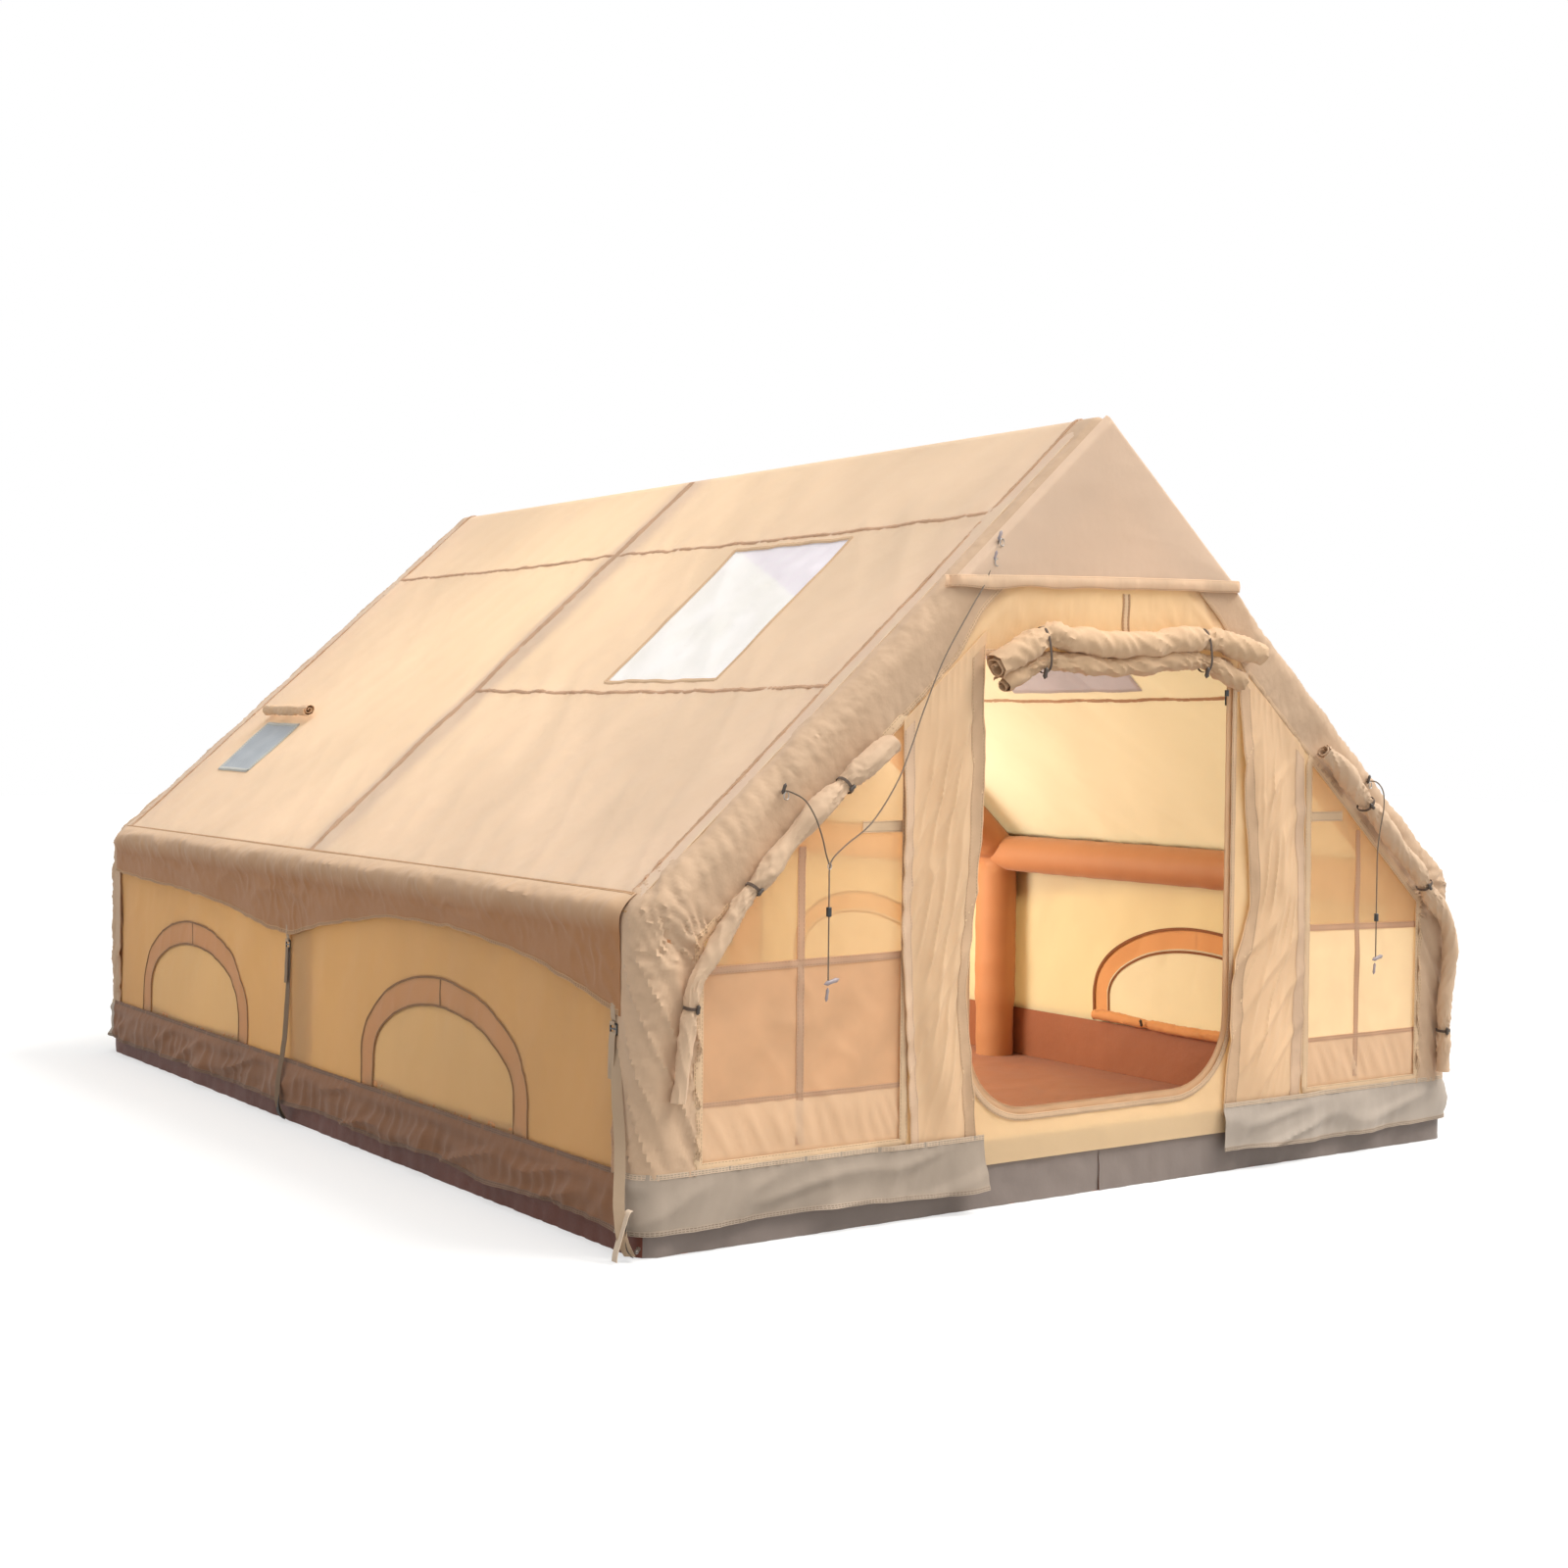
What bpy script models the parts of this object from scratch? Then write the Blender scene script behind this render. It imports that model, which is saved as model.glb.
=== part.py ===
"""Inflatable house tent, four metres by three, in metres, +Z up.

The origin is at the centre of the floor, on the ground. The door is on the -Y side.
Three inflated arches and four eave beams carry fabric walls and a pitched roof.
"""
import math

import bmesh
import bpy
from mathutils import Matrix, Vector

# Driving sizes
base_width = 3.0
base_length = 4.0
ridge_height = 2.17
eave_height = 0.84
mid_arch_setback = 0.12

# Fabric layers, counted inwards from the outer faces
fabric_thickness = 0.002
layer_gap = 0.0005
cut_overrun = 0.02
weld_distance = 0.000005

# Inflated tubes
sleeve_diameter = 0.16
beam_sleeve_diameter = 0.14
sleeve_thickness = 0.0015
bladder_dome = 0.03
tube_sides = 16

# Groundsheet tub
tub_height = 0.185
floor_thickness = 0.003

# Tube covers on the two gable ends
band_corner_radius = 0.045
band_front_depth = 0.165
band_foot_height = 0.19

# Skirts that shed water off the joint of wall and tub
skirt_foot_height = 0.06
skirt_flare = 0.006
skirt_wave_height = 0.012
skirt_wave_length = 0.36
skirt_corner_clearance = 0.001

# Valances that hang from the eaves
valance_strap_height = 0.60
valance_front_height = 0.575
valance_front_rise = 0.13
valance_rear_height = 0.70
valance_wave_height = 0.006
valance_wave_length = 0.48

# Door
door_half_width = 0.50
door_sill_height = 0.24
door_head_margin = 0.053
door_corner_radius = 0.22
door_head_radius = 0.05

# Strips of cloth beside the door
flap_left_inner = 0.43
flap_right_inner = 0.54
flap_left_outer = 0.705
flap_right_outer = 0.83
flap_foot_height = 0.09
flap_head_rise = 0.04
flap_wave_height = 0.018
flap_held_share = 0.13
flap_edge_clearance = 0.003

# Front mesh windows
front_window_inner = 0.71
front_window_right_inner = 0.835
front_window_outer = 1.33
front_window_foot = 0.215
front_window_depth = 0.17
mesh_thickness = 0.001
mesh_overlap = 0.012

# Gable cloth over the door wall
gable_hem_rise = 0.10
gable_edge_depth = 0.003

# Roof windows
skylight_front_setback = 0.73
skylight_length = 0.61
skylight_low_offset = 0.83
skylight_high_offset = 0.36
skylight_thickness = 0.001
skylight_overlap = 0.015

# Stove pipe patch on the left slope
stove_centre_setback = 3.49
stove_centre_offset = 1.10
stove_patch_length = 0.30
stove_patch_rise = 0.27
stove_border_margin = 0.004
stove_border_width = 0.014
stove_border_height = 0.003
stove_roof_margin = 0.03
stove_roll_length = 0.42
stove_roll_radius = 0.028
stove_roll_rise = 0.05
stove_roll_sides = 12

# Arched side windows
side_window_width = 1.06
side_window_height = 0.385
side_window_foot = 0.19
side_window_band = 0.085
side_window_shoulder = 0.10
side_window_lip = 0.0015
side_window_front_centre = -0.892
side_window_rear_centre = 1.088
side_window_clearance = 0.0005

# Rolled door, with the rolled screen under it
door_roll_radius = 0.042
screen_roll_radius = 0.031
roll_cloth_thickness = 0.0035
roll_turn_steps = 8
door_roll_turns = 2.4
screen_roll_turns = 1.7
roll_pinch_share = 0.22
roll_pinch_length = 0.05
tie_left_offset = 0.255
tie_right_offset = 0.345

# Rolled covers of the front mesh windows
cover_roll_radius = 0.035
cover_roll_depth = 0.15
cover_roll_start = 0.80
cover_roll_left_foot = 0.38
cover_roll_right_foot = 0.23
cover_roll_side_inset = 0.085
cover_roll_sides = 12
cover_roll_pinch_share = 0.035
cover_roll_end_share = 0.6
cover_roll_tie_shares = (0.12, 0.45, 0.78)

# Zip round the door
zip_tape_width = 0.032
zip_tape_overlap = 0.010
zip_tape_thickness = 0.0015
zip_end_drop = 0.06
slider_park_drop = 0.10
slider_width = 0.012
slider_length = 0.018
slider_thickness = 0.0055
slider_slot_clearance = 0.0004
puller_length = 0.036
puller_width = 0.008
puller_thickness = 0.0016

# Adjusting straps and their ladder-lock buckles
webbing_width = 0.025
webbing_thickness = 0.0015
corner_strap_setback = 0.125
mid_strap_offset = 0.07
strap_foot_height = 0.012
strap_tail_length = 0.11
buckle_bar = 0.004
buckle_slot_height = 0.009
buckle_side_clearance = 0.0006
buckle_thickness = 0.004
buckle_drop = 0.012
tab_stitch_length = 0.035
tab_hook_length = 0.012
web_gap = 0.0005
hook_gap = 0.0009

# Air valve on the rear right post
valve_height = 0.30
valve_flange_radius = 0.030
valve_flange_thickness = 0.006
valve_neck_radius = 0.022
valve_neck_length = 0.016
valve_bore_radius = 0.016
valve_floor_thickness = 0.002
valve_cap_radius = 0.026
valve_cap_wall = 0.0035
valve_cap_grips = 10
valve_grip_depth = 0.0012
valve_grip_share = 0.125
valve_running_gap = 0.0004
poppet_thickness = 0.003
poppet_stem_radius = 0.003
poppet_stem_length = 0.006
poppet_travel = 0.004
valve_bevel_share = 0.3

# Guy lines
cord_diameter = 0.004
runner_length = 0.024
runner_radius = 0.007
runner_bore_clearance = 0.0006
runner_bevel_share = 0.2
runner_left_height = 0.83
runner_right_height = 0.73

# Worked out from the sizes above
half_width = base_width / 2
half_length = base_length / 2
pitch = math.atan2(ridge_height - eave_height, half_width)
slope_length = math.hypot(half_width, ridge_height - eave_height)
wall_depth = fabric_thickness + layer_gap
tube_radius = sleeve_diameter / 2
beam_radius = beam_sleeve_diameter / 2
tube_depth = wall_depth + fabric_thickness + layer_gap + tube_radius
bladder_radius = tube_radius - sleeve_thickness - layer_gap
beam_bladder_radius = beam_radius - sleeve_thickness - layer_gap
front_arch_y = -(half_length - tube_depth)
rear_arch_y = -front_arch_y
mid_arch_y = mid_arch_setback
arch_places = {"front": front_arch_y, "mid": mid_arch_y, "rear": rear_arch_y}
side_end_y = half_length - tube_depth - layer_gap
mid_strap_y = mid_arch_y + mid_strap_offset
poppet_radius = valve_bore_radius - valve_running_gap
corner_strap_y = corner_strap_setback - half_length
buckle_axis_out = web_gap + webbing_thickness + web_gap + buckle_thickness / 2
door_corner_roof = ridge_height - tube_depth / math.cos(pitch) - door_half_width * math.tan(pitch)
door_top_height = door_corner_roof - door_head_margin
flap_top_height = door_top_height + flap_head_rise
gable_hem_height = door_top_height + gable_hem_rise
zip_end_height = door_top_height - zip_end_drop
slider_start_height = zip_end_height - slider_park_drop

# Colours
sand = (0.80, 0.62, 0.45)
sand_light = (0.83, 0.66, 0.49)
sand_dark = (0.50, 0.36, 0.25)
wall_sand = (0.72, 0.49, 0.29)
skirt_grey = (0.42, 0.35, 0.29)
tub_brown = (0.17, 0.09, 0.06)
tube_orange = (0.62, 0.31, 0.14)
mesh_tan = (0.78, 0.58, 0.38)
pane_cream = (0.95, 0.92, 0.80)
patch_blue = (0.42, 0.47, 0.52)
black = (0.03, 0.03, 0.03)
webbing_grey = (0.36, 0.31, 0.25)
cord_grey = (0.35, 0.30, 0.24)
valve_grey = (0.12, 0.12, 0.13)
zip_brown = (0.45, 0.30, 0.20)


def clear_scene():
    for item in list(bpy.data.objects):
        bpy.data.objects.remove(item, do_unlink=True)


def finish_material(name, colour, roughness):
    """A plain finish of the piece's own colour."""
    finish = bpy.data.materials.new(name)
    finish.use_nodes = True
    shader = finish.node_tree.nodes["Principled BSDF"]
    shader.inputs["Base Color"].default_value = (*colour, 1)
    shader.inputs["Roughness"].default_value = roughness
    return finish


def mesh_object(name, points, faces, colour, roughness=0.8, smooth=False):
    """A closed mesh from its corners and faces, with the faces turned outwards."""
    mesh = bpy.data.meshes.new(name)
    mesh.from_pydata([tuple(p) for p in points], [], faces)
    shell = bmesh.new()
    shell.from_mesh(mesh)
    bmesh.ops.recalc_face_normals(shell, faces=shell.faces)
    shell.to_mesh(mesh)
    shell.free()
    if smooth:
        mesh.shade_smooth()
        mesh.set_sharp_from_angle(angle=math.radians(35))
    piece = bpy.data.objects.new(name, mesh)
    bpy.context.collection.objects.link(piece)
    mesh.materials.append(finish_material(name, colour, roughness))
    return piece


def plate(name, outline, thickness, place, colour, holes=(), roughness=0.8):
    """A flat panel from a 2D outline and its holes, thick evenly about its own plane."""
    curve = bpy.data.curves.new(name, "CURVE")
    curve.dimensions = "2D"
    curve.fill_mode = "BOTH"
    curve.extrude = thickness / 2
    curve.render_resolution_u = 0
    for loop in (outline, *holes):
        spline = curve.splines.new("POLY")
        spline.points.add(len(loop) - 1)
        for point, (u, v) in zip(spline.points, loop):
            point.co = (u, v, 0, 1)
        spline.use_cyclic_u = True
    curve.materials.append(finish_material(name, colour, roughness))
    piece = bpy.data.objects.new(name, curve)
    bpy.context.collection.objects.link(piece)
    piece.matrix_world = place
    return piece


def as_mesh(piece):
    """The same panel as a mesh, for a boolean."""
    bpy.context.view_layer.update()
    mesh = bpy.data.meshes.new_from_object(piece.evaluated_get(bpy.context.evaluated_depsgraph_get()))
    shell = bmesh.new()
    shell.from_mesh(mesh)
    bmesh.ops.remove_doubles(shell, verts=shell.verts, dist=weld_distance)
    bmesh.ops.recalc_face_normals(shell, faces=shell.faces)
    shell.to_mesh(mesh)
    shell.free()
    solid = bpy.data.objects.new(piece.name + "_solid", mesh)
    solid.matrix_world = piece.matrix_world
    bpy.context.collection.objects.link(solid)
    name = piece.name
    bpy.data.objects.remove(piece, do_unlink=True)
    solid.name = name
    return solid


def hide_guide(piece):
    piece.hide_render = True
    piece.display_type = "WIRE"


def join(base, others, operation="UNION"):
    """Unite or cut a solid with others, which stay in the file as guides."""
    for other in others:
        change = base.modifiers.new(other.name, "BOOLEAN")
        change.operation = operation
        change.object = other
        change.solver = "EXACT"
        hide_guide(other)


def columns(x_axis, y_axis, z_axis, origin):
    """The place whose own axes are the three given directions."""
    place = Matrix((x_axis, y_axis, z_axis)).transposed().to_4x4()
    place.translation = Vector(origin)
    return place


def front_place(y):
    """Outlines in (x, z) on an upright plane across the tent."""
    return columns((1, 0, 0), (0, 0, 1), (0, -1, 0), (0, y, 0))


def side_place(x):
    """Outlines in (y, z) on an upright plane along the tent."""
    return columns((0, 1, 0), (0, 0, 1), (1, 0, 0), (x, 0, 0))


def slope_place(side, depth):
    """Outlines in (y, distance up the slope) on one roof slope, side -1 for left."""
    inwards = Vector((-side * math.sin(pitch), 0, -math.cos(pitch)))
    upwards = Vector((-side * math.cos(pitch), 0, math.sin(pitch)))
    along = Vector((0, -side, 0))
    origin = Vector((side * half_width, 0, eave_height)) + inwards * depth
    return columns(along, upwards, along.cross(upwards), origin)


def slope_run(offset):
    """Distance up the slope from the eave to a place this far from the ridge plane."""
    return (half_width - offset) / math.cos(pitch)


def house_path(depth, foot):
    """The outline of an arch, a set depth inside the outer faces, from foot to foot."""
    side_x = half_width - depth
    top_z = ridge_height - depth / math.cos(pitch)
    side_z = top_z - side_x * math.tan(pitch)
    return [(-side_x, foot), (-side_x, side_z), (0, top_z), (side_x, side_z), (side_x, foot)]


def roof_height(x, depth):
    """Height of the roof line at x, a set depth inside its outer face."""
    return ridge_height - depth / math.cos(pitch) - abs(x) * math.tan(pitch)


def mitres(path):
    """Outward direction at each point of a path, longer where the path turns."""
    normals = []
    for (x0, z0), (x1, z1) in zip(path, path[1:]):
        run = math.hypot(x1 - x0, z1 - z0)
        normals.append(Vector((-(z1 - z0) / run, (x1 - x0) / run)))
    before = [normals[0], *normals]
    after = [*normals, normals[-1]]
    return [(a + b) / (1 + a.dot(b)) for a, b in zip(before, after)]


def along_arch(name, depth, foot, profile, y, colour, smooth=False):
    """Sweep a profile of (outward, backward) points round the house outline."""
    path = house_path(depth, foot)
    points = []
    for (x, z), mitre in zip(path, mitres(path)):
        for outward, backward in profile:
            points.append((x + mitre.x * outward, y + backward, z + mitre.y * outward))
    count = len(profile)
    faces = [tuple(range(count)), tuple(range((len(path) - 1) * count, len(path) * count))]
    for ring in range(len(path) - 1):
        for i in range(count):
            j = (i + 1) % count
            faces.append((ring * count + i, ring * count + j, (ring + 1) * count + j, (ring + 1) * count + i))
    return mesh_object(name, points, faces, colour, smooth=smooth)


def circle(radius, sides):
    turns = [2 * math.pi * i / sides for i in range(sides)]
    return [(radius * math.cos(a), radius * math.sin(a)) for a in turns]


def arc(centre, radius, start, end, steps):
    """Points on an arc, angles in degrees."""
    angles = [math.radians(start + (end - start) * i / steps) for i in range(steps + 1)]
    return [(centre[0] + radius * math.cos(a), centre[1] + radius * math.sin(a)) for a in angles]


def turned(name, profile, sides, place, colour, roughness=0.5):
    """Turn a closed profile of (radius, along) points about its own Z axis."""
    points, faces, rings = [], [], []
    for radius, along in profile:
        if radius == 0:
            rings.append([len(points)])
            points.append(Vector((0, 0, along)))
            continue
        rings.append(list(range(len(points), len(points) + sides)))
        points += [Vector((x, y, along)) for x, y in circle(radius, sides)]
    for a, b in zip(rings, rings[1:] + rings[:1]):
        for i in range(sides):
            j = (i + 1) % sides
            corners = dict.fromkeys((a[i % len(a)], a[j % len(a)], b[j % len(b)], b[i % len(b)]))
            if len(corners) > 2:
                faces.append(tuple(corners))
    piece = mesh_object(name, points, faces, colour, roughness, smooth=True)
    piece.matrix_world = place
    return piece


def smooth_route(points, count):
    """Evenly spaced points on a smooth curve through the given ones."""
    knots = [Vector(p) for p in points]
    fine = []
    steps = 12
    for i in range(len(knots) - 1):
        before = knots[max(i - 1, 0)]
        after = knots[min(i + 2, len(knots) - 1)]
        a, b = knots[i], knots[i + 1]
        for k in range(steps):
            t = k / steps
            out_slope = (b - before) / 2
            in_slope = (after - a) / 2
            fine.append(
                a * (2 * t**3 - 3 * t**2 + 1)
                + out_slope * (t**3 - 2 * t**2 + t)
                + b * (3 * t**2 - 2 * t**3)
                + in_slope * (t**3 - t**2)
            )
    fine.append(knots[-1])
    lengths = [0.0]
    for a, b in zip(fine, fine[1:]):
        lengths.append(lengths[-1] + (b - a).length)
    route = []
    k = 0
    for i in range(count):
        target = lengths[-1] * i / (count - 1)
        while k < len(fine) - 2 and lengths[k + 1] < target:
            k += 1
        share = (target - lengths[k]) / (lengths[k + 1] - lengths[k])
        route.append(fine[k].lerp(fine[k + 1], min(max(share, 0), 1)))
    return route


def cord(name, points, colour):
    """A limp cord along a smooth route through the given points."""
    rough_length = sum((Vector(b) - Vector(a)).length for a, b in zip(points, points[1:]))
    count = min(52, max(12, round(rough_length / (3 * cord_diameter))))
    curve = bpy.data.curves.new(name, "CURVE")
    curve.dimensions = "3D"
    curve.bevel_depth = cord_diameter / 2
    curve.bevel_resolution = 2
    curve.use_fill_caps = True
    curve.render_resolution_u = 0
    route = smooth_route(points, count)
    spline = curve.splines.new("POLY")
    spline.points.add(len(route) - 1)
    for point, place in zip(spline.points, route):
        point.co = (*place, 1)
    curve.materials.append(finish_material(name, colour, 0.8))
    piece = bpy.data.objects.new(name, curve)
    bpy.context.collection.objects.link(piece)
    return piece


def lofted(name, route, section_at, colour):
    """Loft a section along a route in the (x, z) plane, its own axes being across and -Y."""
    points, faces = [], []
    count = None
    for i, place in enumerate(route):
        ahead = (route[min(i + 1, len(route) - 1)] - route[max(i - 1, 0)]).normalized()
        across = Vector((-ahead.z, 0, ahead.x)).normalized()
        section = section_at(i / (len(route) - 1))
        count = len(section)
        points += [place + across * u + Vector((0, -v, 0)) for u, v in section]
    faces.append(tuple(range(count)))
    faces.append(tuple(range((len(route) - 1) * count, len(route) * count)))
    for ring in range(len(route) - 1):
        for i in range(count):
            j = (i + 1) % count
            faces.append((ring * count + i, ring * count + j, (ring + 1) * count + j, (ring + 1) * count + i))
    return mesh_object(name, points, faces, colour, smooth=True)


def hanging_cloth(name, surface, across, down, colour):
    """A thick sheet from surface(s, t), which gives a point on its back and the way it faces."""
    points, faces = [], []
    for layer in (0, 1):
        for j in range(down + 1):
            for i in range(across + 1):
                place, facing = surface(i / across, j / down)
                points.append(Vector(place) + Vector(facing) * fabric_thickness * layer)
    row = across + 1
    sheet = row * (down + 1)
    for j in range(down):
        for i in range(across):
            a = j * row + i
            faces.append((a, a + 1, a + row + 1, a + row))
            faces.append((sheet + a, sheet + a + row, sheet + a + row + 1, sheet + a + 1))
    edge = list(range(row)) + [j * row + across for j in range(1, down + 1)]
    edge += [down * row + i for i in range(across - 1, -1, -1)]
    edge += [j * row for j in range(down - 1, 0, -1)]
    for a, b in zip(edge, edge[1:] + edge[:1]):
        faces.append((a, sheet + a, sheet + b, b))
    return mesh_object(name, points, faces, colour)


def arch_bladders():
    """One airtight bladder for each arch."""
    foot = floor_thickness + 2 * layer_gap
    for name, y in arch_places.items():
        section = circle(bladder_radius, tube_sides)
        along_arch(f"{name}_arch_bladder", tube_depth, foot, section, y, tube_orange, smooth=True)


def beam_place(side, y):
    """The axis of an eave beam, from y towards the rear."""
    x, z = house_path(tube_depth, 0)[3 if side > 0 else 1]
    return columns((1, 0, 0), (0, 0, -1), (0, 1, 0), (x, y, z))


def eave_bladders():
    """Four airtight beams that space the arches at the eaves, with domed ends."""
    bays = {"front": (front_arch_y, mid_arch_y), "rear": (mid_arch_y, rear_arch_y)}
    for bay, (start, end) in bays.items():
        first = start + bladder_radius + layer_gap
        length = end - start - 2 * (bladder_radius + layer_gap)
        profile = [(0, 0)]
        for i in range(1, 4):
            turn = math.pi / 2 * i / 3
            profile.append((beam_bladder_radius * math.sin(turn), bladder_dome * (1 - math.cos(turn))))
        profile += [(radius, length - along) for radius, along in reversed(profile)]
        for side_name, side in (("left", -1), ("right", 1)):
            turned(f"{side_name}_{bay}_eave_bladder", profile[:-1] + [(0, length)], tube_sides,
                   beam_place(side, first), tube_orange)


def frame_sleeve():
    """The sewn sleeve round all the bladders, open at its six feet."""
    foot = floor_thickness + layer_gap
    guides = bpy.data.collections.new("sleeve_insides")
    outsides = bpy.data.collections.new("sleeve_outsides")
    bpy.context.scene.collection.children.link(guides)
    bpy.context.scene.collection.children.link(outsides)
    base = None

    def sort_into(piece, collection):
        for owner in list(piece.users_collection):
            owner.objects.unlink(piece)
        collection.objects.link(piece)
        hide_guide(piece)

    for name, y in arch_places.items():
        outer = along_arch(f"outside_{name}", tube_depth, foot, circle(tube_radius, tube_sides), y, tube_orange)
        inner_section = circle(tube_radius - sleeve_thickness, tube_sides)
        inner = along_arch(f"inside_{name}", tube_depth, foot - cut_overrun, inner_section, y, tube_orange)
        sort_into(inner, guides)
        if base is None:
            base = outer
        else:
            sort_into(outer, outsides)
    for side in (-1, 1):
        for start, end in ((front_arch_y, mid_arch_y), (mid_arch_y, rear_arch_y)):
            for radius, group in ((beam_radius, outsides), (beam_radius - sleeve_thickness, guides)):
                profile = [(0, 0), (radius, 0), (radius, end - start), (0, end - start)]
                beam = turned("sleeve_beam", profile, tube_sides, beam_place(side, start), tube_orange)
                sort_into(beam, group)
    base.name = "frame_sleeve"
    for group, operation in ((outsides, "UNION"), (guides, "DIFFERENCE")):
        change = base.modifiers.new(group.name, "BOOLEAN")
        change.operation = operation
        change.operand_type = "COLLECTION"
        change.collection = group
        change.solver = "EXACT"
        change.use_self = True


def rounded_rectangle(half_x, half_y, radius, steps):
    corners = [(1, 1, 0), (-1, 1, 90), (-1, -1, 180), (1, -1, 270)]
    loop = []
    for sx, sy, start in corners:
        centre = (sx * (half_x - radius), sy * (half_y - radius))
        loop += arc(centre, radius, start, start + 90, steps)
    return loop


def groundsheet():
    """A shallow tub, open on top, with walls that turn up round the posts."""
    outer_x = half_width - wall_depth
    outer_y = half_length - wall_depth
    radius = band_corner_radius - wall_depth
    outer = rounded_rectangle(outer_x, outer_y, radius, 5)
    inner = rounded_rectangle(outer_x - fabric_thickness, outer_y - fabric_thickness,
                              radius - fabric_thickness, 5)
    count = len(outer)
    points = [(x, y, 0) for x, y in outer] + [(x, y, tub_height) for x, y in outer]
    points += [(x, y, tub_height) for x, y in inner] + [(x, y, floor_thickness) for x, y in inner]
    faces = [tuple(range(count)), tuple(range(3 * count, 4 * count))]
    for ring in range(3):
        for i in range(count):
            j = (i + 1) % count
            faces.append((ring * count + i, ring * count + j, (ring + 1) * count + j, (ring + 1) * count + i))
    mesh_object("groundsheet", points, faces, tub_brown)


def band_profile(rear):
    """Section of a tube cover: over the roof side, round the corner, down the front."""
    edge = tube_depth
    loop = []
    for inset in (0, fabric_thickness):
        radius = band_corner_radius - inset
        centre = (edge - band_corner_radius, edge - band_corner_radius)
        run = [(edge - inset, 0)]
        run += arc(centre, radius, 0, 90, 5)
        run.append((tube_depth - band_front_depth, edge - inset))
        loop.append(run)
    section = loop[0] + loop[1][::-1]
    return [(outward, forward if rear else -forward) for outward, forward in section]


def gable_bands():
    """The covers that wrap the front and rear arches."""
    along_arch("front_band", tube_depth, band_foot_height + layer_gap, band_profile(False),
               front_arch_y, sand)
    along_arch("rear_band", tube_depth, band_foot_height + layer_gap, band_profile(True),
               rear_arch_y, sand)


def door_outline(grow):
    """The door opening, grown or shrunk by a set amount."""
    half = door_half_width + grow
    foot = door_sill_height - grow
    top = door_top_height + grow
    low = door_corner_radius + grow
    high = door_head_radius + grow
    loop = arc((half - low, foot + low), low, 270, 360, 6)
    loop += arc((half - high, top - high), high, 0, 90, 3)
    loop += arc((high - half, top - high), high, 90, 180, 3)
    loop += arc((low - half, foot + low), low, 180, 270, 6)
    return loop


def front_window_outline(side, grow):
    """A mesh window beside the door, its top edge parallel to the roof."""
    inner = (front_window_inner if side < 0 else front_window_right_inner) - grow
    outer = front_window_outer + grow
    foot = front_window_foot - grow
    depth = front_window_depth - grow
    loop = [(inner, foot), (outer, foot), (outer, roof_height(outer, depth)), (inner, roof_height(inner, depth))]
    return [(side * x, z) for x, z in loop]


def gable_outline(depth, foot):
    left_foot, left_eave, top, right_eave, right_foot = house_path(depth, foot)
    return [left_foot, right_foot, right_eave, top, left_eave]


def end_walls():
    """The door wall with its three openings, and the plain rear wall."""
    middle = half_length - wall_depth - fabric_thickness / 2
    outline = gable_outline(tube_depth, tub_height + layer_gap)
    holes = [door_outline(0), front_window_outline(-1, 0), front_window_outline(1, 0)]
    plate("front_wall", outline, fabric_thickness, front_place(-middle), sand_light, holes)
    plate("rear_wall", outline, fabric_thickness, front_place(middle), sand_light)


def front_meshes():
    """Mesh panels behind the two front window openings."""
    y = -(half_length - wall_depth - fabric_thickness - layer_gap - mesh_thickness / 2)
    for name, side in (("front_left_mesh", -1), ("front_right_mesh", 1)):
        plate(name, front_window_outline(side, mesh_overlap), mesh_thickness, front_place(y), mesh_tan)


def gable_flap():
    """The triangular cloth over the door wall, hemmed along its foot."""
    half = (ridge_height - gable_edge_depth / math.cos(pitch) - gable_hem_height) / math.tan(pitch)
    outline = [(-half, gable_hem_height), (half, gable_hem_height), (0, roof_height(0, gable_edge_depth))]
    y = -(half_length + layer_gap + fabric_thickness / 2)
    plate("gable_flap", outline, fabric_thickness, front_place(y), sand)


def arch_outline(width, height, foot, shoulder, centre):
    """A low window arch: short upright sides and a half ellipse."""
    loop = [(centre - width / 2, foot), (centre + width / 2, foot)]
    rise = height - shoulder
    steps = 14
    for i in range(steps + 1):
        turn = math.pi * i / steps
        loop.append((centre + width / 2 * math.cos(turn), foot + shoulder + rise * math.sin(turn)))
    return loop


def side_window_places():
    return {"front": side_window_front_centre, "rear": side_window_rear_centre}


def side_walls():
    """The two long walls, each with its two arched window openings."""
    x = half_width - wall_depth - fabric_thickness / 2
    foot = tub_height + layer_gap
    top = eave_height - fabric_thickness
    outline = [(-side_end_y, foot), (side_end_y, foot), (side_end_y, top), (-side_end_y, top)]
    grow = side_window_clearance
    holes = [
        arch_outline(side_window_width + 2 * grow, side_window_height + 2 * grow, side_window_foot - grow,
                     side_window_shoulder + grow, centre)
        for centre in side_window_places().values()
    ]
    plate("left_wall", outline, fabric_thickness, side_place(-x), wall_sand, holes)
    plate("right_wall", outline, fabric_thickness, side_place(x), wall_sand, holes)


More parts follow.
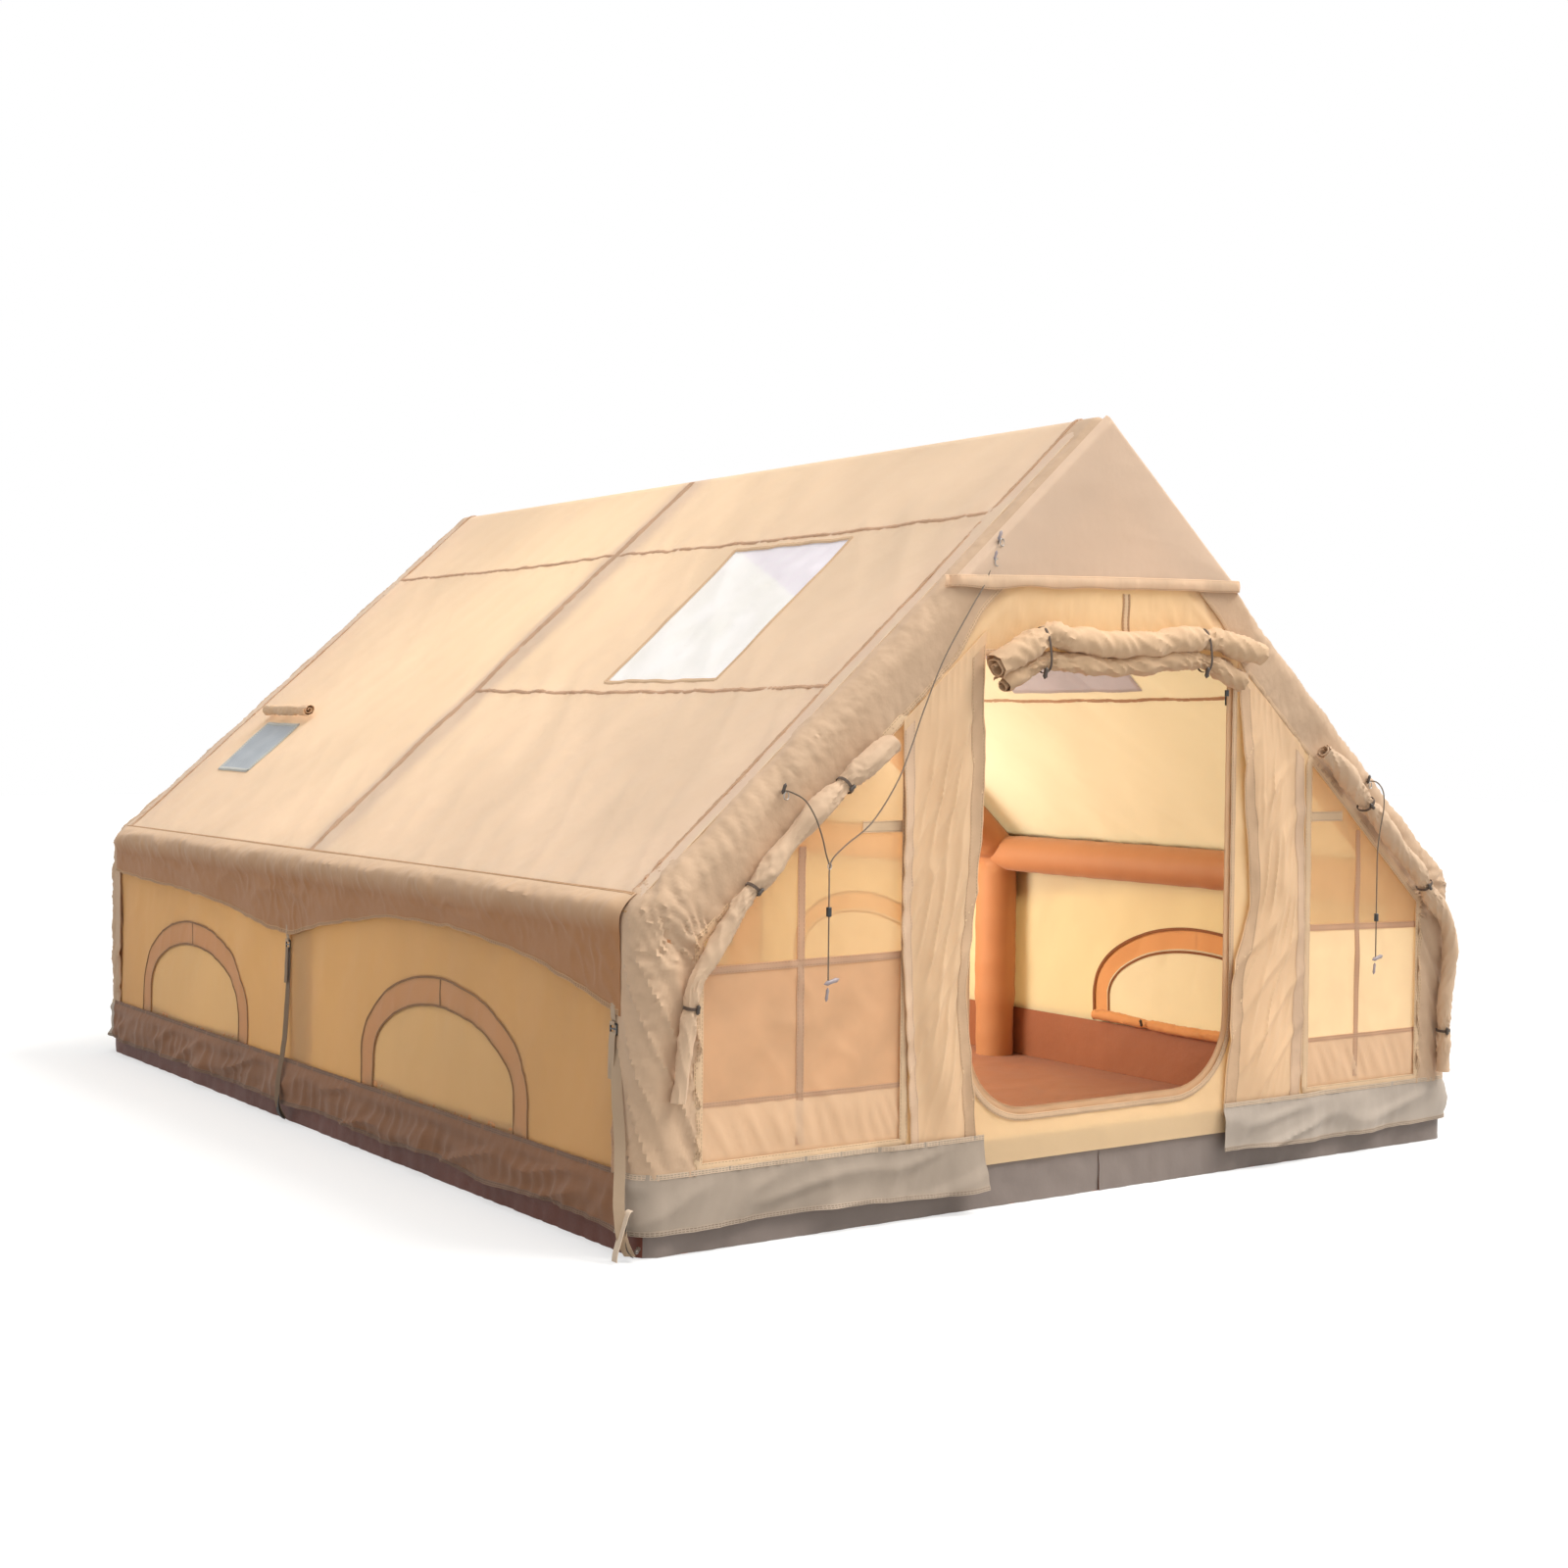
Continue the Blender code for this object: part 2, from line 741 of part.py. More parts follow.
def side_windows():
    """Arched windows: a raised band round a thin pane, one piece each."""
    outer_face = half_width - wall_depth + side_window_lip
    inner_face = half_width - wall_depth - fabric_thickness
    pane_face = half_width - wall_depth - fabric_thickness / 2
    for bay, centre in side_window_places().items():
        outer = arch_outline(side_window_width, side_window_height, side_window_foot, side_window_shoulder, centre)
        inner = arch_outline(side_window_width - 2 * side_window_band, side_window_height - side_window_band,
                             side_window_foot + fabric_thickness, side_window_shoulder, centre)
        count = len(outer)
        for side_name, side in (("left", -1), ("right", 1)):
            points = [(side * outer_face, y, z) for y, z in outer]
            points += [(side * outer_face, y, z) for y, z in inner]
            points += [(side * pane_face, y, z) for y, z in inner]
            points += [(side * inner_face, y, z) for y, z in outer]
            faces = [tuple(range(2 * count, 3 * count)), tuple(range(3 * count, 4 * count))]
            for a, b in ((0, 1), (1, 2), (0, 3)):
                for i in range(count):
                    j = (i + 1) % count
                    faces.append((a * count + i, a * count + j, b * count + j, b * count + i))
            mesh_object(f"{side_name}_{bay}_window", points, faces, mesh_tan)


def slope_rectangle(side, front, rear, low, high):
    """A rectangle on a slope, between two places along Y and two runs up the slope."""
    corners = [(front, low), (rear, low), (rear, high), (front, high)]
    return [(-side * y, run) for y, run in corners]


def skylight_rectangle(side, grow):
    front = skylight_front_setback - half_length - grow
    rear = front + skylight_length + 2 * grow
    low = slope_run(skylight_low_offset) - grow
    high = slope_run(skylight_high_offset) + grow
    return slope_rectangle(side, front, rear, low, high)


def stove_rectangle(grow):
    y = stove_centre_setback - half_length
    run = slope_run(stove_centre_offset)
    half_y = stove_patch_length / 2 + grow
    half_run = stove_patch_rise / 2 + grow
    return slope_rectangle(-1, y - half_y, y + half_y, run - half_run, run + half_run)


def roof():
    """Two sloping panels with their window and stove pipe openings, and the clear panes."""
    top = slope_length - fabric_thickness * math.tan(pitch) - layer_gap
    pane_depth = fabric_thickness + layer_gap + skylight_thickness / 2
    for name, side in (("left", -1), ("right", 1)):
        holes = [skylight_rectangle(side, 0)]
        if side < 0:
            holes.append(stove_rectangle(-stove_roof_margin))
        outline = slope_rectangle(side, -side_end_y, side_end_y, 0, top)
        plate(f"roof_{name}_slope", outline, fabric_thickness, slope_place(side, fabric_thickness / 2), sand, holes)
        plate(f"{name}_skylight", skylight_rectangle(side, skylight_overlap), skylight_thickness,
              slope_place(side, pane_depth), pane_cream, roughness=0.3)


def stove_jack():
    """The heat-proof patch for a stove pipe, with its raised border, and the rolled flap above."""
    y = stove_centre_setback - half_length
    run = slope_run(stove_centre_offset)
    patch_depth = -(layer_gap + fabric_thickness / 2)
    patch = as_mesh(plate("stove_jack", stove_rectangle(0), fabric_thickness, slope_place(-1, patch_depth),
                          patch_blue))
    patch.data.materials.append(finish_material("stove_jack", patch_blue, 0.6))
    border_depth = -(layer_gap + stove_border_height / 2 + fabric_thickness / 2)
    border = as_mesh(plate("stove_jack_border", stove_rectangle(-stove_border_margin), stove_border_height,
                           slope_place(-1, border_depth), patch_blue,
                           [stove_rectangle(-stove_border_margin - stove_border_width)]))
    join(patch, [border])
    roll_run = run + stove_patch_rise / 2 + stove_roll_rise
    corner = 2 * math.pi / stove_roll_sides
    lean = math.pi / 2 - pitch
    lift = -(layer_gap + stove_roll_radius * math.cos(lean - round(lean / corner) * corner))
    middle = slope_place(-1, lift) @ Vector((y, roll_run, 0))
    ends = []
    steps = 8
    for i in range(steps + 1):
        share = i / steps
        swell = 1 - (2 * share - 1) ** 8 / 2
        ends.append((stove_roll_radius * swell, stove_roll_length * (share - 1 / 2)))
    profile = [(0, ends[0][1]), *ends, (0, ends[-1][1])]
    place = columns((1, 0, 0), (0, 0, -1), (0, 1, 0), middle)
    turned("stove_flap_roll", profile, stove_roll_sides, place, sand)


def wave(distance, length):
    """A soft ripple from 0 to 1 that repeats along a hem."""
    return (1 - math.cos(2 * math.pi * distance / length)) / 2


def valance_foot(y):
    """Height of the valance's scalloped hem."""
    if y < mid_strap_y:
        share = (y - corner_strap_y) / (mid_strap_y - corner_strap_y)
        share = max(share, 0)
        straight = valance_front_height + (valance_strap_height - valance_front_height) * share
        return straight + valance_front_rise * math.sin(math.pi * share) ** 0.7
    share = (y - mid_strap_y) / (side_end_y - mid_strap_y)
    rise = valance_rear_height - valance_strap_height
    return valance_strap_height + rise * math.sin(math.pi / 2 * min(share * 2, 1)) ** 0.8


def valances():
    """Cloth that hangs from each eave, with the web tabs that hold the buckles."""
    top = eave_height - 2 * fabric_thickness
    for name, side in (("left", -1), ("right", 1)):
        def surface(s, t, side=side):
            y = -side_end_y + 2 * side_end_y * s
            foot = valance_foot(y)
            held = min(abs(y - corner_strap_y), abs(y - mid_strap_y)) / valance_wave_length
            ripple = valance_wave_height * t * t * wave(y - mid_strap_y, valance_wave_length) * min(held, 1)
            return (side * (half_width - fabric_thickness + ripple), y, top + (foot - top) * t), (side, 0, 0)

        cloth = hanging_cloth(f"{name}_valance", surface, 48, 2, sand_dark)
        tabs = []
        for y in (corner_strap_y, mid_strap_y):
            tabs.append(buckle_tab(side, y))
        join(cloth, tabs)


def ribbon(points, thickness):
    """The outline of a thin strip that follows a line of points."""
    normals = []
    for (a, b), (c, d) in zip(points, points[1:]):
        run = math.hypot(c - a, d - b)
        normals.append(Vector((-(d - b) / run, (c - a) / run)))
    before = [normals[0], *normals]
    after = [*normals, normals[-1]]
    offsets = [(a + b) / (1 + a.dot(b)) * (thickness / 2) for a, b in zip(before, after)]
    left = [(p[0] + o.x, p[1] + o.y) for p, o in zip(points, offsets)]
    right = [(p[0] - o.x, p[1] - o.y) for p, o in zip(points, offsets)]
    return left + right[::-1]


def web_strip(name, side, y, points, width, colour):
    """Webbing that follows points of (distance out from the wall line, height)."""
    line = [(side * (half_width + out), z) for out, z in points]
    piece = plate(name, ribbon(line, webbing_thickness), width, front_place(y), colour)
    return piece


def buckle_top(y):
    return valance_foot(y) - buckle_drop


def buckle_tab(side, y):
    """A short web hook, sewn to the valance, that the buckle's top bar hangs in."""
    half_web = webbing_thickness / 2
    reach = buckle_thickness / 2 + hook_gap + half_web
    back = buckle_axis_out - reach
    face = buckle_axis_out + reach
    bar_foot = buckle_top(y) - buckle_bar - hook_gap
    sewn = half_web - fabric_thickness / 2
    points = [
        (sewn, valance_foot(y) + tab_stitch_length),
        (sewn, valance_foot(y)),
        (back, valance_foot(y) - back),
        (back, bar_foot),
        (back + half_web, bar_foot - half_web),
        (face - half_web, bar_foot - half_web),
        (face, bar_foot),
        (face, bar_foot + tab_hook_length),
    ]
    tab = as_mesh(web_strip(f"tab_{side}_{y:.2f}", side, y, points, webbing_width, webbing_grey))
    return tab


def buckle_height():
    return 3 * buckle_bar + 2 * buckle_slot_height


def ladder_buckles():
    """Three-bar buckles, each hinged on its top bar so that lifting its foot frees the strap."""
    half_slot = webbing_width / 2 + buckle_side_clearance
    half_frame = half_slot + buckle_bar
    radius = buckle_bar
    for name, side, y in strap_places():
        top = buckle_top(y)
        low_slot = top - buckle_height() + buckle_bar
        high_slot = low_slot + buckle_slot_height + buckle_bar
        axis = (side * (half_width + buckle_axis_out), y, top - buckle_bar / 2)
        outline = []
        half_height = buckle_height() / 2
        middle = top - half_height - axis[2]
        for x, z in rounded_rectangle(half_frame, half_height, radius, 3):
            outline.append((x, z + middle))
        holes = []
        for foot in (low_slot, high_slot):
            z0, z1 = foot - axis[2], foot + buckle_slot_height - axis[2]
            holes.append([(-half_slot, z0), (half_slot, z0), (half_slot, z1), (-half_slot, z1)])
        place = columns((0, 1, 0), (0, 0, 1), (1, 0, 0), axis)
        plate(f"{name}_buckle", outline, buckle_thickness, place, black, holes, roughness=0.4)


def strap_places():
    """Name, side and place along Y of each strap."""
    places = []
    for name, side in (("left", -1), ("right", 1)):
        places.append((f"{name}_corner", side, corner_strap_y))
        places.append((f"{name}_mid", side, mid_strap_y))
    return places


def straps():
    """Webbing that comes up behind each buckle's low bar, over it, and hangs as a tail."""
    half_web = webbing_thickness / 2
    back = web_gap + half_web
    face = back + half_web + web_gap + buckle_thickness + web_gap + half_web
    clear_skirt = skirt_flare + skirt_wave_height + fabric_thickness + layer_gap + webbing_thickness
    for name, side, y in strap_places():
        bar_top = buckle_top(y) - buckle_height() + buckle_bar
        points = [
            (layer_gap + half_web, strap_foot_height),
            (clear_skirt, skirt_foot_height - clear_skirt),
            (clear_skirt, skirt_foot_height),
            (back + web_gap, band_foot_height + clear_skirt),
            (back, bar_top + web_gap),
            (back + half_web, bar_top + web_gap + half_web),
            (face - half_web, bar_top + web_gap + half_web),
            (face, bar_top + web_gap),
            (face + half_web, bar_top - strap_tail_length / 2),
            (face + webbing_thickness, bar_top - strap_tail_length),
        ]
        web_strip(f"{name}_strap", side, y, points, webbing_width, webbing_grey)


def corner_path(side, front, end_x):
    """Places and outward directions from a side wall's end, round a corner, along the end wall."""
    ahead = -1 if front else 1
    radius = band_corner_radius
    centre = (half_width - radius, half_length - radius)
    start_y = half_length - tube_depth
    route = [((half_width, start_y), (1, 0))]
    for turn in range(0, 91, 15):
        a = math.radians(turn)
        way = (math.cos(a), math.sin(a))
        route.append(((centre[0] + radius * way[0], centre[1] + radius * way[1]), way))
    steps = round((half_width - radius - end_x) / (skirt_wave_length / 6))
    for i in range(1, steps + 1):
        route.append(((centre[0] + (end_x - centre[0]) * i / steps, half_length), (0, 1)))
    return [((side * x, ahead * y), (side * nx, ahead * ny)) for (x, y), (nx, ny) in route]


def skirt_from_route(name, route, colour):
    """A hanging skirt whose foot ripples outwards along its route."""
    lengths = [0.0]
    for (a, _), (b, _) in zip(route, route[1:]):
        lengths.append(lengths[-1] + math.dist(a, b))
    top = band_foot_height
    foot = skirt_foot_height

    def surface(s, t):
        i = round(s * (len(route) - 1))
        (x, y), (nx, ny) = route[i]
        share = t ** 1.5
        ends = min(lengths[i], lengths[-1] - lengths[i]) / skirt_wave_length
        ripple = wave(lengths[i], skirt_wave_length) * min(ends * 2, 1)
        out = share * (skirt_flare + skirt_wave_height * ripple) - fabric_thickness
        sag = skirt_wave_height * ripple * share / 2
        return (x + nx * out, y + ny * out, top + (foot - top) * t + sag), (nx, ny, 0)

    hanging_cloth(name, surface, len(route) - 1, 2, colour)


def skirts():
    """Skirts round the tent, left off in front of the door."""
    end_y = half_length - tube_depth - skirt_corner_clearance
    steps = round(2 * end_y / (skirt_wave_length / 6))
    for name, side in (("left", -1), ("right", 1)):
        route = [((side * half_width, -end_y + 2 * end_y * i / steps), (side, 0)) for i in range(steps + 1)]
        skirt_from_route(f"{name}_skirt", route, skirt_grey)
    gap = skirt_corner_clearance
    skirt_from_route("front_left_skirt", corner_path(-1, True, flap_left_outer + gap), sand_light)
    skirt_from_route("front_right_skirt", corner_path(1, True, flap_right_outer + gap), sand_light)
    left = corner_path(-1, False, 0)
    right = corner_path(1, False, 0)
    skirt_from_route("rear_skirt", left + right[-2::-1], sand_light)


def door_flaps():
    """Loose strips of cloth on both sides of the door, hanging to the foot of the wall."""
    edge_depth = band_front_depth + flap_edge_clearance
    for name, side, inner, outer in (
        ("left", -1, flap_left_inner, flap_left_outer),
        ("right", 1, flap_right_inner, flap_right_outer),
    ):
        def surface(s, t, side=side, inner=inner, outer=outer):
            x = inner + (outer - inner) * s
            top = min(flap_top_height, roof_height(x, edge_depth))
            z = top + (flap_foot_height - top) * t
            ripple = (1 - math.cos(3 * math.pi * s)) / 2
            drift = (1 + math.sin(2 * math.pi * (t * 2 + s / 2))) / 2
            free = min(max(t - flap_held_share, 0) * 4, 1)
            out = flap_wave_height * free * (ripple * (1 + drift) / 2 + t / 2)
            return (side * x, -(half_length - fabric_thickness + out), z), (0, -1, 0)

        hanging_cloth(f"{name}_door_flap", surface, 9, 12, sand_light)


def spiral_section(radius, turns, scale):
    """The cut end of a rolled cloth: a spiral strip with air between its turns."""
    steps = round(turns * roll_turn_steps)
    core = radius / 5
    outer, inner = [], []
    for i in range(steps + 1):
        turn = 2 * math.pi * turns * i / steps - math.pi / 2
        reach = core + (radius - core) * i / steps
        outer.append((reach * math.cos(turn) * scale, reach * math.sin(turn) * scale))
        reach -= roll_cloth_thickness
        inner.append((reach * math.cos(turn) * scale, reach * math.sin(turn) * scale))
    return outer + inner[::-1]


def spiral_reach(radius, turns, direction):
    """How far a roll's section reaches in one direction, in degrees from its own first axis."""
    core = radius / 5
    last_turn = (direction + 90) % 360 / 360
    while last_turn + 1 <= turns:
        last_turn += 1
    return core + (radius - core) * last_turn / turns


def pinch(distance, length):
    """How much a tie draws a roll in, at a distance along it."""
    return 1 - roll_pinch_share * math.exp(-((distance / length) ** 2))


def door_rolls():
    """The rolled door with the rolled insect screen under it, both drawn in at two ties."""
    roll_y = -(half_length + layer_gap + spiral_reach(door_roll_radius, door_roll_turns, -90))
    roll_span = tie_left_offset + tie_right_offset
    roll_top = door_top_height - door_roll_radius / 2
    drop = spiral_reach(door_roll_radius, door_roll_turns, 180) + layer_gap
    drop += spiral_reach(screen_roll_radius, screen_roll_turns, 0)
    upper_share = [(-0.29, -0.10), (-0.14, -0.03), (0, 0), (0.22, -0.018), (0.5, -0.025), (0.8, -0.01),
                   (1, 0.0), (1.18, -0.025), (1.38, -0.065)]
    lower_share = [(-0.25, -0.10), (-0.14, -0.035), (0, 0), (0.22, -0.018), (0.5, -0.025), (0.8, -0.01),
                   (1, -0.004), (1.14, -0.035), (1.26, -0.08)]
    for name, radius, turns, low, shares in (
        ("door_roll", door_roll_radius, door_roll_turns, 0, upper_share),
        ("door_screen_roll", screen_roll_radius, screen_roll_turns, drop, lower_share),
    ):
        knots = [(roll_span * s - tie_left_offset, roll_y, roll_top - low + roll_span * rise) for s, rise in shares]
        route = smooth_route(knots, 18)
        ties = [-tie_left_offset, tie_right_offset]

        def section_at(share, route=route, radius=radius, turns=turns, ties=ties):
            place = route[round(share * (len(route) - 1))]
            scale = min(pinch(place.x - tie, roll_pinch_length) for tie in ties)
            return spiral_section(radius, turns, scale)

        lofted(name, route, section_at, sand)


def cover_rolls():
    """The rolled covers of the front mesh windows, tied along the roof line and down the post."""
    y = -(half_length + layer_gap + cover_roll_radius)
    for name, side, foot in (("left", -1, cover_roll_left_foot), ("right", 1, cover_roll_right_foot)):
        side_x = half_width - cover_roll_side_inset
        eave = eave_height - cover_roll_depth
        bend = (side_x + half_width - 3 * cover_roll_side_inset) / 2
        knots = []
        for share in (0, 0.25, 0.5, 0.75, 1):
            x = cover_roll_start + (bend - cover_roll_start) * share
            knots.append((side * x, y, roof_height(x, cover_roll_depth)))
        knots.append((side * side_x, y, eave))
        for share in (0.4, 0.7, 1):
            knots.append((side * side_x, y, eave + (foot - eave) * share))
        route = smooth_route(knots, 20)

        def section_at(share, count=len(route)):
            scale = min(pinch(share - tie, cover_roll_pinch_share) for tie in cover_roll_tie_shares)
            ends = min(share, 1 - share) * (count - 1)
            if ends < 1:
                scale *= cover_roll_end_share
            return [(u * scale, v * scale) for u, v in circle(cover_roll_radius, cover_roll_sides)]

        lofted(f"{name}_cover_roll", route, section_at, sand)


def door_zip():
    """The zip tape round the door's sides and foot, and a slider parked near each top."""
    outer = door_outline(zip_tape_overlap)
    inner = door_outline(zip_tape_overlap - zip_tape_width)
    sill = [p for p in outer if p[1] < door_sill_height + door_corner_radius + fabric_thickness]
    inner_sill = [p for p in inner if p[1] < door_sill_height + door_corner_radius + fabric_thickness]

    def by_side(points):
        right = [p for p in points if p[0] > 0]
        left = [p for p in points if p[0] < 0]
        return sorted(left, key=lambda p: (p[0], -p[1])) + sorted(right, key=lambda p: (p[0], p[1]))

    sill, inner_sill = by_side(sill), by_side(inner_sill)
    half = door_half_width + zip_tape_overlap
    edge = half - zip_tape_width
    outline = [(-half, zip_end_height), *sill, (half, zip_end_height), (edge, zip_end_height)]
    outline += [*inner_sill[::-1], (-edge, zip_end_height)]
    y = -(half_length - wall_depth - fabric_thickness - layer_gap - zip_tape_thickness / 2)
    plate("door_zip_tape", outline, zip_tape_thickness, front_place(y), zip_brown)
    for name, side in (("left", -1), ("right", 1)):
        body = box(f"door_zip_slider_{name}", slider_width, slider_thickness, slider_length, black)
        slot = box(f"slider_slot_{name}", slider_width, zip_tape_thickness + 2 * slider_slot_clearance,
                   slider_length * 2, black)
        reach = slider_width / 2 + slider_slot_clearance
        slot.location = (side * (edge + reach - slider_slot_clearance * 2), y, slider_start_height)
        pull = box(f"slider_pull_{name}", puller_width, puller_thickness, puller_length, black)
        pull_y = y + slider_thickness / 2
        pull.location = (side * edge, pull_y, slider_start_height - puller_length / 2)
        body.location = (side * edge, y, slider_start_height)
        join(body, [pull])
        join(body, [slot], "DIFFERENCE")


def box(name, size_x, size_y, size_z, colour):
    """A block about its own centre."""
    x, y, z = size_x / 2, size_y / 2, size_z / 2
    points = [(i * x, j * y, k * z) for i in (-1, 1) for j in (-1, 1) for k in (-1, 1)]
    faces = [(0, 1, 3, 2), (4, 6, 7, 5), (0, 4, 5, 1), (2, 3, 7, 6), (0, 2, 6, 4), (1, 5, 7, 3)]
    return mesh_object(name, points, faces, colour, roughness=0.4)


def air_valve():
    """The inflation valve: a flanged body, a sprung poppet and a quarter-turn cap."""
    post_x = half_width - tube_depth
    face_x = post_x - tube_radius
    place = columns((0, 1, 0), (0, 0, 1), (1, 0, 0), (face_x, rear_arch_y, valve_height))
    turn = place @ Matrix.Rotation(math.pi, 4, "Y")
    saddle = valve_flange_radius / 4
    bevel = valve_flange_thickness * valve_bevel_share
    neck_end = valve_flange_thickness + valve_neck_length
    body_profile = [
        (0, -saddle), (valve_flange_radius, -saddle), (valve_flange_radius, valve_flange_thickness - bevel),
        (valve_flange_radius - bevel, valve_flange_thickness),
        (valve_neck_radius, valve_flange_thickness), (valve_neck_radius, neck_end),
        (valve_bore_radius, neck_end), (valve_bore_radius, valve_floor_thickness), (0, valve_floor_thickness),
    ]
    body = turned("valve_body", body_profile, 32, turn, valve_grey, 0.45)
    post_profile = [(0, 0), (tube_radius + layer_gap, 0), (tube_radius + layer_gap, valve_height * 2),
                    (0, valve_height * 2)]
    post = turned("valve_saddle_cut", post_profile, 64, Matrix.Translation((post_x, rear_arch_y, 0)), valve_grey)
    join(body, [post], "DIFFERENCE")
    seat = valve_floor_thickness + valve_running_gap + poppet_travel
    poppet_profile = [
        (0, seat), (poppet_stem_radius, seat), (poppet_stem_radius, seat + poppet_stem_length),
        (poppet_radius, seat + poppet_stem_length), (poppet_radius, seat + poppet_stem_length + poppet_thickness),
        (0, seat + poppet_stem_length + poppet_thickness),
    ]
    turned("valve_poppet", poppet_profile, 24, turn, sand_dark, 0.5)
    cap_inside = valve_neck_radius + valve_running_gap
    cap_start = valve_flange_thickness + valve_running_gap
    cap_face = neck_end + valve_running_gap + valve_cap_wall
    cap_bevel = valve_cap_wall * valve_bevel_share
    cap_profile = [
        (cap_inside, cap_start), (valve_cap_radius, cap_start),
        (valve_cap_radius, cap_face - cap_bevel), (valve_cap_radius - cap_bevel, cap_face), (0, cap_face),
        (0, neck_end + valve_running_gap), (cap_inside, neck_end + valve_running_gap),
    ]
    cap = turned("valve_cap", cap_profile, 40, turn, valve_grey, 0.45)
    grip_step = 2 * math.pi / valve_cap_grips
    for vertex in cap.data.vertices:
        radius = math.hypot(vertex.co.x, vertex.co.y)
        steps = math.atan2(vertex.co.y, vertex.co.x) / grip_step
        if radius > cap_inside + valve_grip_depth / 2 and abs(steps - round(steps)) < valve_grip_share:
            vertex.co.x *= 1 - valve_grip_depth / radius
            vertex.co.y *= 1 - valve_grip_depth / radius


def guy_lines():
    """Spare guy lines that hang down the front, with a sliding runner on each."""
    left = [
        (-0.402, -2.0049, 1.800), (-0.425, -2.006, 1.735), (-0.455, -2.010, 1.675), (-0.509, -2.014, 1.601),
        (-0.599, -2.022, 1.474), (-0.675, -2.036, 1.341), (-0.735, -2.060, 1.243), (-0.800, -2.084, 1.150),
        (-0.880, -2.088, 1.052), (-0.958, -2.084, 0.996), (-0.998, -2.082, 0.962), (-1.0075, -2.082, 0.935),
        (-1.008, -2.082, 0.905), (-1.008, -2.082, 0.850), (-1.008, -2.082, 0.750), (-1.008, -2.082, 0.655),
    ]
    branch = [
        (-1.095, -2.0008, 1.130), (-1.094, -2.030, 1.129), (-1.076, -2.068, 1.110), (-1.056, -2.085, 1.070),
        (-1.036, -2.088, 1.020), (-1.022, -2.087, 0.975), (-1.012, -2.086, 0.950),
    ]
    right = [
        (1.085, -2.0008, 1.140), (1.084, -2.040, 1.138), (1.074, -2.074, 1.110), (1.066, -2.084, 1.060),
        (1.050, -2.086, 1.000), (1.041, -2.084, 0.930), (1.040, -2.084, 0.850), (1.040, -2.084, 0.760),
        (1.040, -2.084, 0.680), (1.040, -2.084, 0.607),
    ]
    cord("guy_line_left", left, cord_grey)
    cord("guy_branch_left", branch, cord_grey)
    cord("guy_line_right", right, cord_grey)
    bore = cord_diameter / 2 + runner_bore_clearance
    half = runner_length / 2
    bevel = runner_radius * runner_bevel_share
    profile = [
        (bore, -half), (runner_radius - bevel, -half), (runner_radius, bevel - half),
        (runner_radius, half - bevel), (runner_radius - bevel, half), (bore, half),
    ]
    for name, route, height in (("left", left, runner_left_height), ("right", right, runner_right_height)):
        turned(f"guy_runner_{name}", profile, 12, Matrix.Translation((*route[-1][:2], height)), black)


clear_scene()
arch_bladders()
eave_bladders()
frame_sleeve()
groundsheet()
gable_bands()
end_walls()
front_meshes()
gable_flap()
side_walls()
side_windows()
roof()
stove_jack()
valances()
ladder_buckles()
straps()
skirts()
door_flaps()
door_rolls()
cover_rolls()
door_zip()
air_valve()
guy_lines()
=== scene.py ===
# %% [markdown]
# # An inflatable house tent
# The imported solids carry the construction. This script dresses them: cloth with its folds and seams,
# rolled door and window covers, tapes, ties and cords, and then the light and the camera.
# All sizes are in metres. +Z is up, +Y runs from the door to the rear wall, and the door faces -Y.

# %% Load the frame
import math

import bpy
import numpy as np
from mathutils import Matrix, Vector


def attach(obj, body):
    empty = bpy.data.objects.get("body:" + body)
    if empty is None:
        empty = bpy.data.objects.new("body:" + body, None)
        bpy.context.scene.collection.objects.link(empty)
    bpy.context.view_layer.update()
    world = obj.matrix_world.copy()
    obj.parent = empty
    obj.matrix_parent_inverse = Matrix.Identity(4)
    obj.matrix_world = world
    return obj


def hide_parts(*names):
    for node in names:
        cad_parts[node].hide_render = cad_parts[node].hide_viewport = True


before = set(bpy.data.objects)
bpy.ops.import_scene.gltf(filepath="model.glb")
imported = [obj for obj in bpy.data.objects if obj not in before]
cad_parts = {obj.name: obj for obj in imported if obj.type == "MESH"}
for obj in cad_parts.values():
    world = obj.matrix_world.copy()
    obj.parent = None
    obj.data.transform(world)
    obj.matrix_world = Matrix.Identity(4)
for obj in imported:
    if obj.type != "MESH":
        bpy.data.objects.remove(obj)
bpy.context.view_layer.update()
sides = ((-1, "left"), (1, "right"))


def added(operator, **settings):
    """The object that an operator adds."""
    bpy.ops.object.select_all(action="DESELECT")
    operator(**settings)
    return bpy.context.active_object


# %% [markdown]
# The photograph was taken from the front left, at about the height of a person's chest.
# A camera fitted to eight corners of the tent gives its place and lens.

# %% Camera
lens_mm, sensor_mm = 50.38, 36.0
camera_place = Vector((-4.2239, -6.5002, 1.2962))
yaw, down, roll = 0.6081, 0.0271, 0.0099
ahead = Vector((math.sin(yaw) * math.cos(down), math.cos(yaw) * math.cos(down), -math.sin(down)))
across = Vector((math.cos(yaw), -math.sin(yaw), 0))
upward = across.cross(ahead)
right = across * math.cos(roll) + upward * math.sin(roll)
top = upward * math.cos(roll) - across * math.sin(roll)
camera = added(bpy.ops.object.camera_add)
camera.matrix_world = Matrix.Translation(camera_place) @ Matrix((right, top, -ahead)).transposed().to_4x4()
camera.data.lens = lens_mm
camera.data.sensor_width = sensor_mm
bpy.context.scene.camera = camera
print("camera at", tuple(round(c, 3) for c in camera_place))

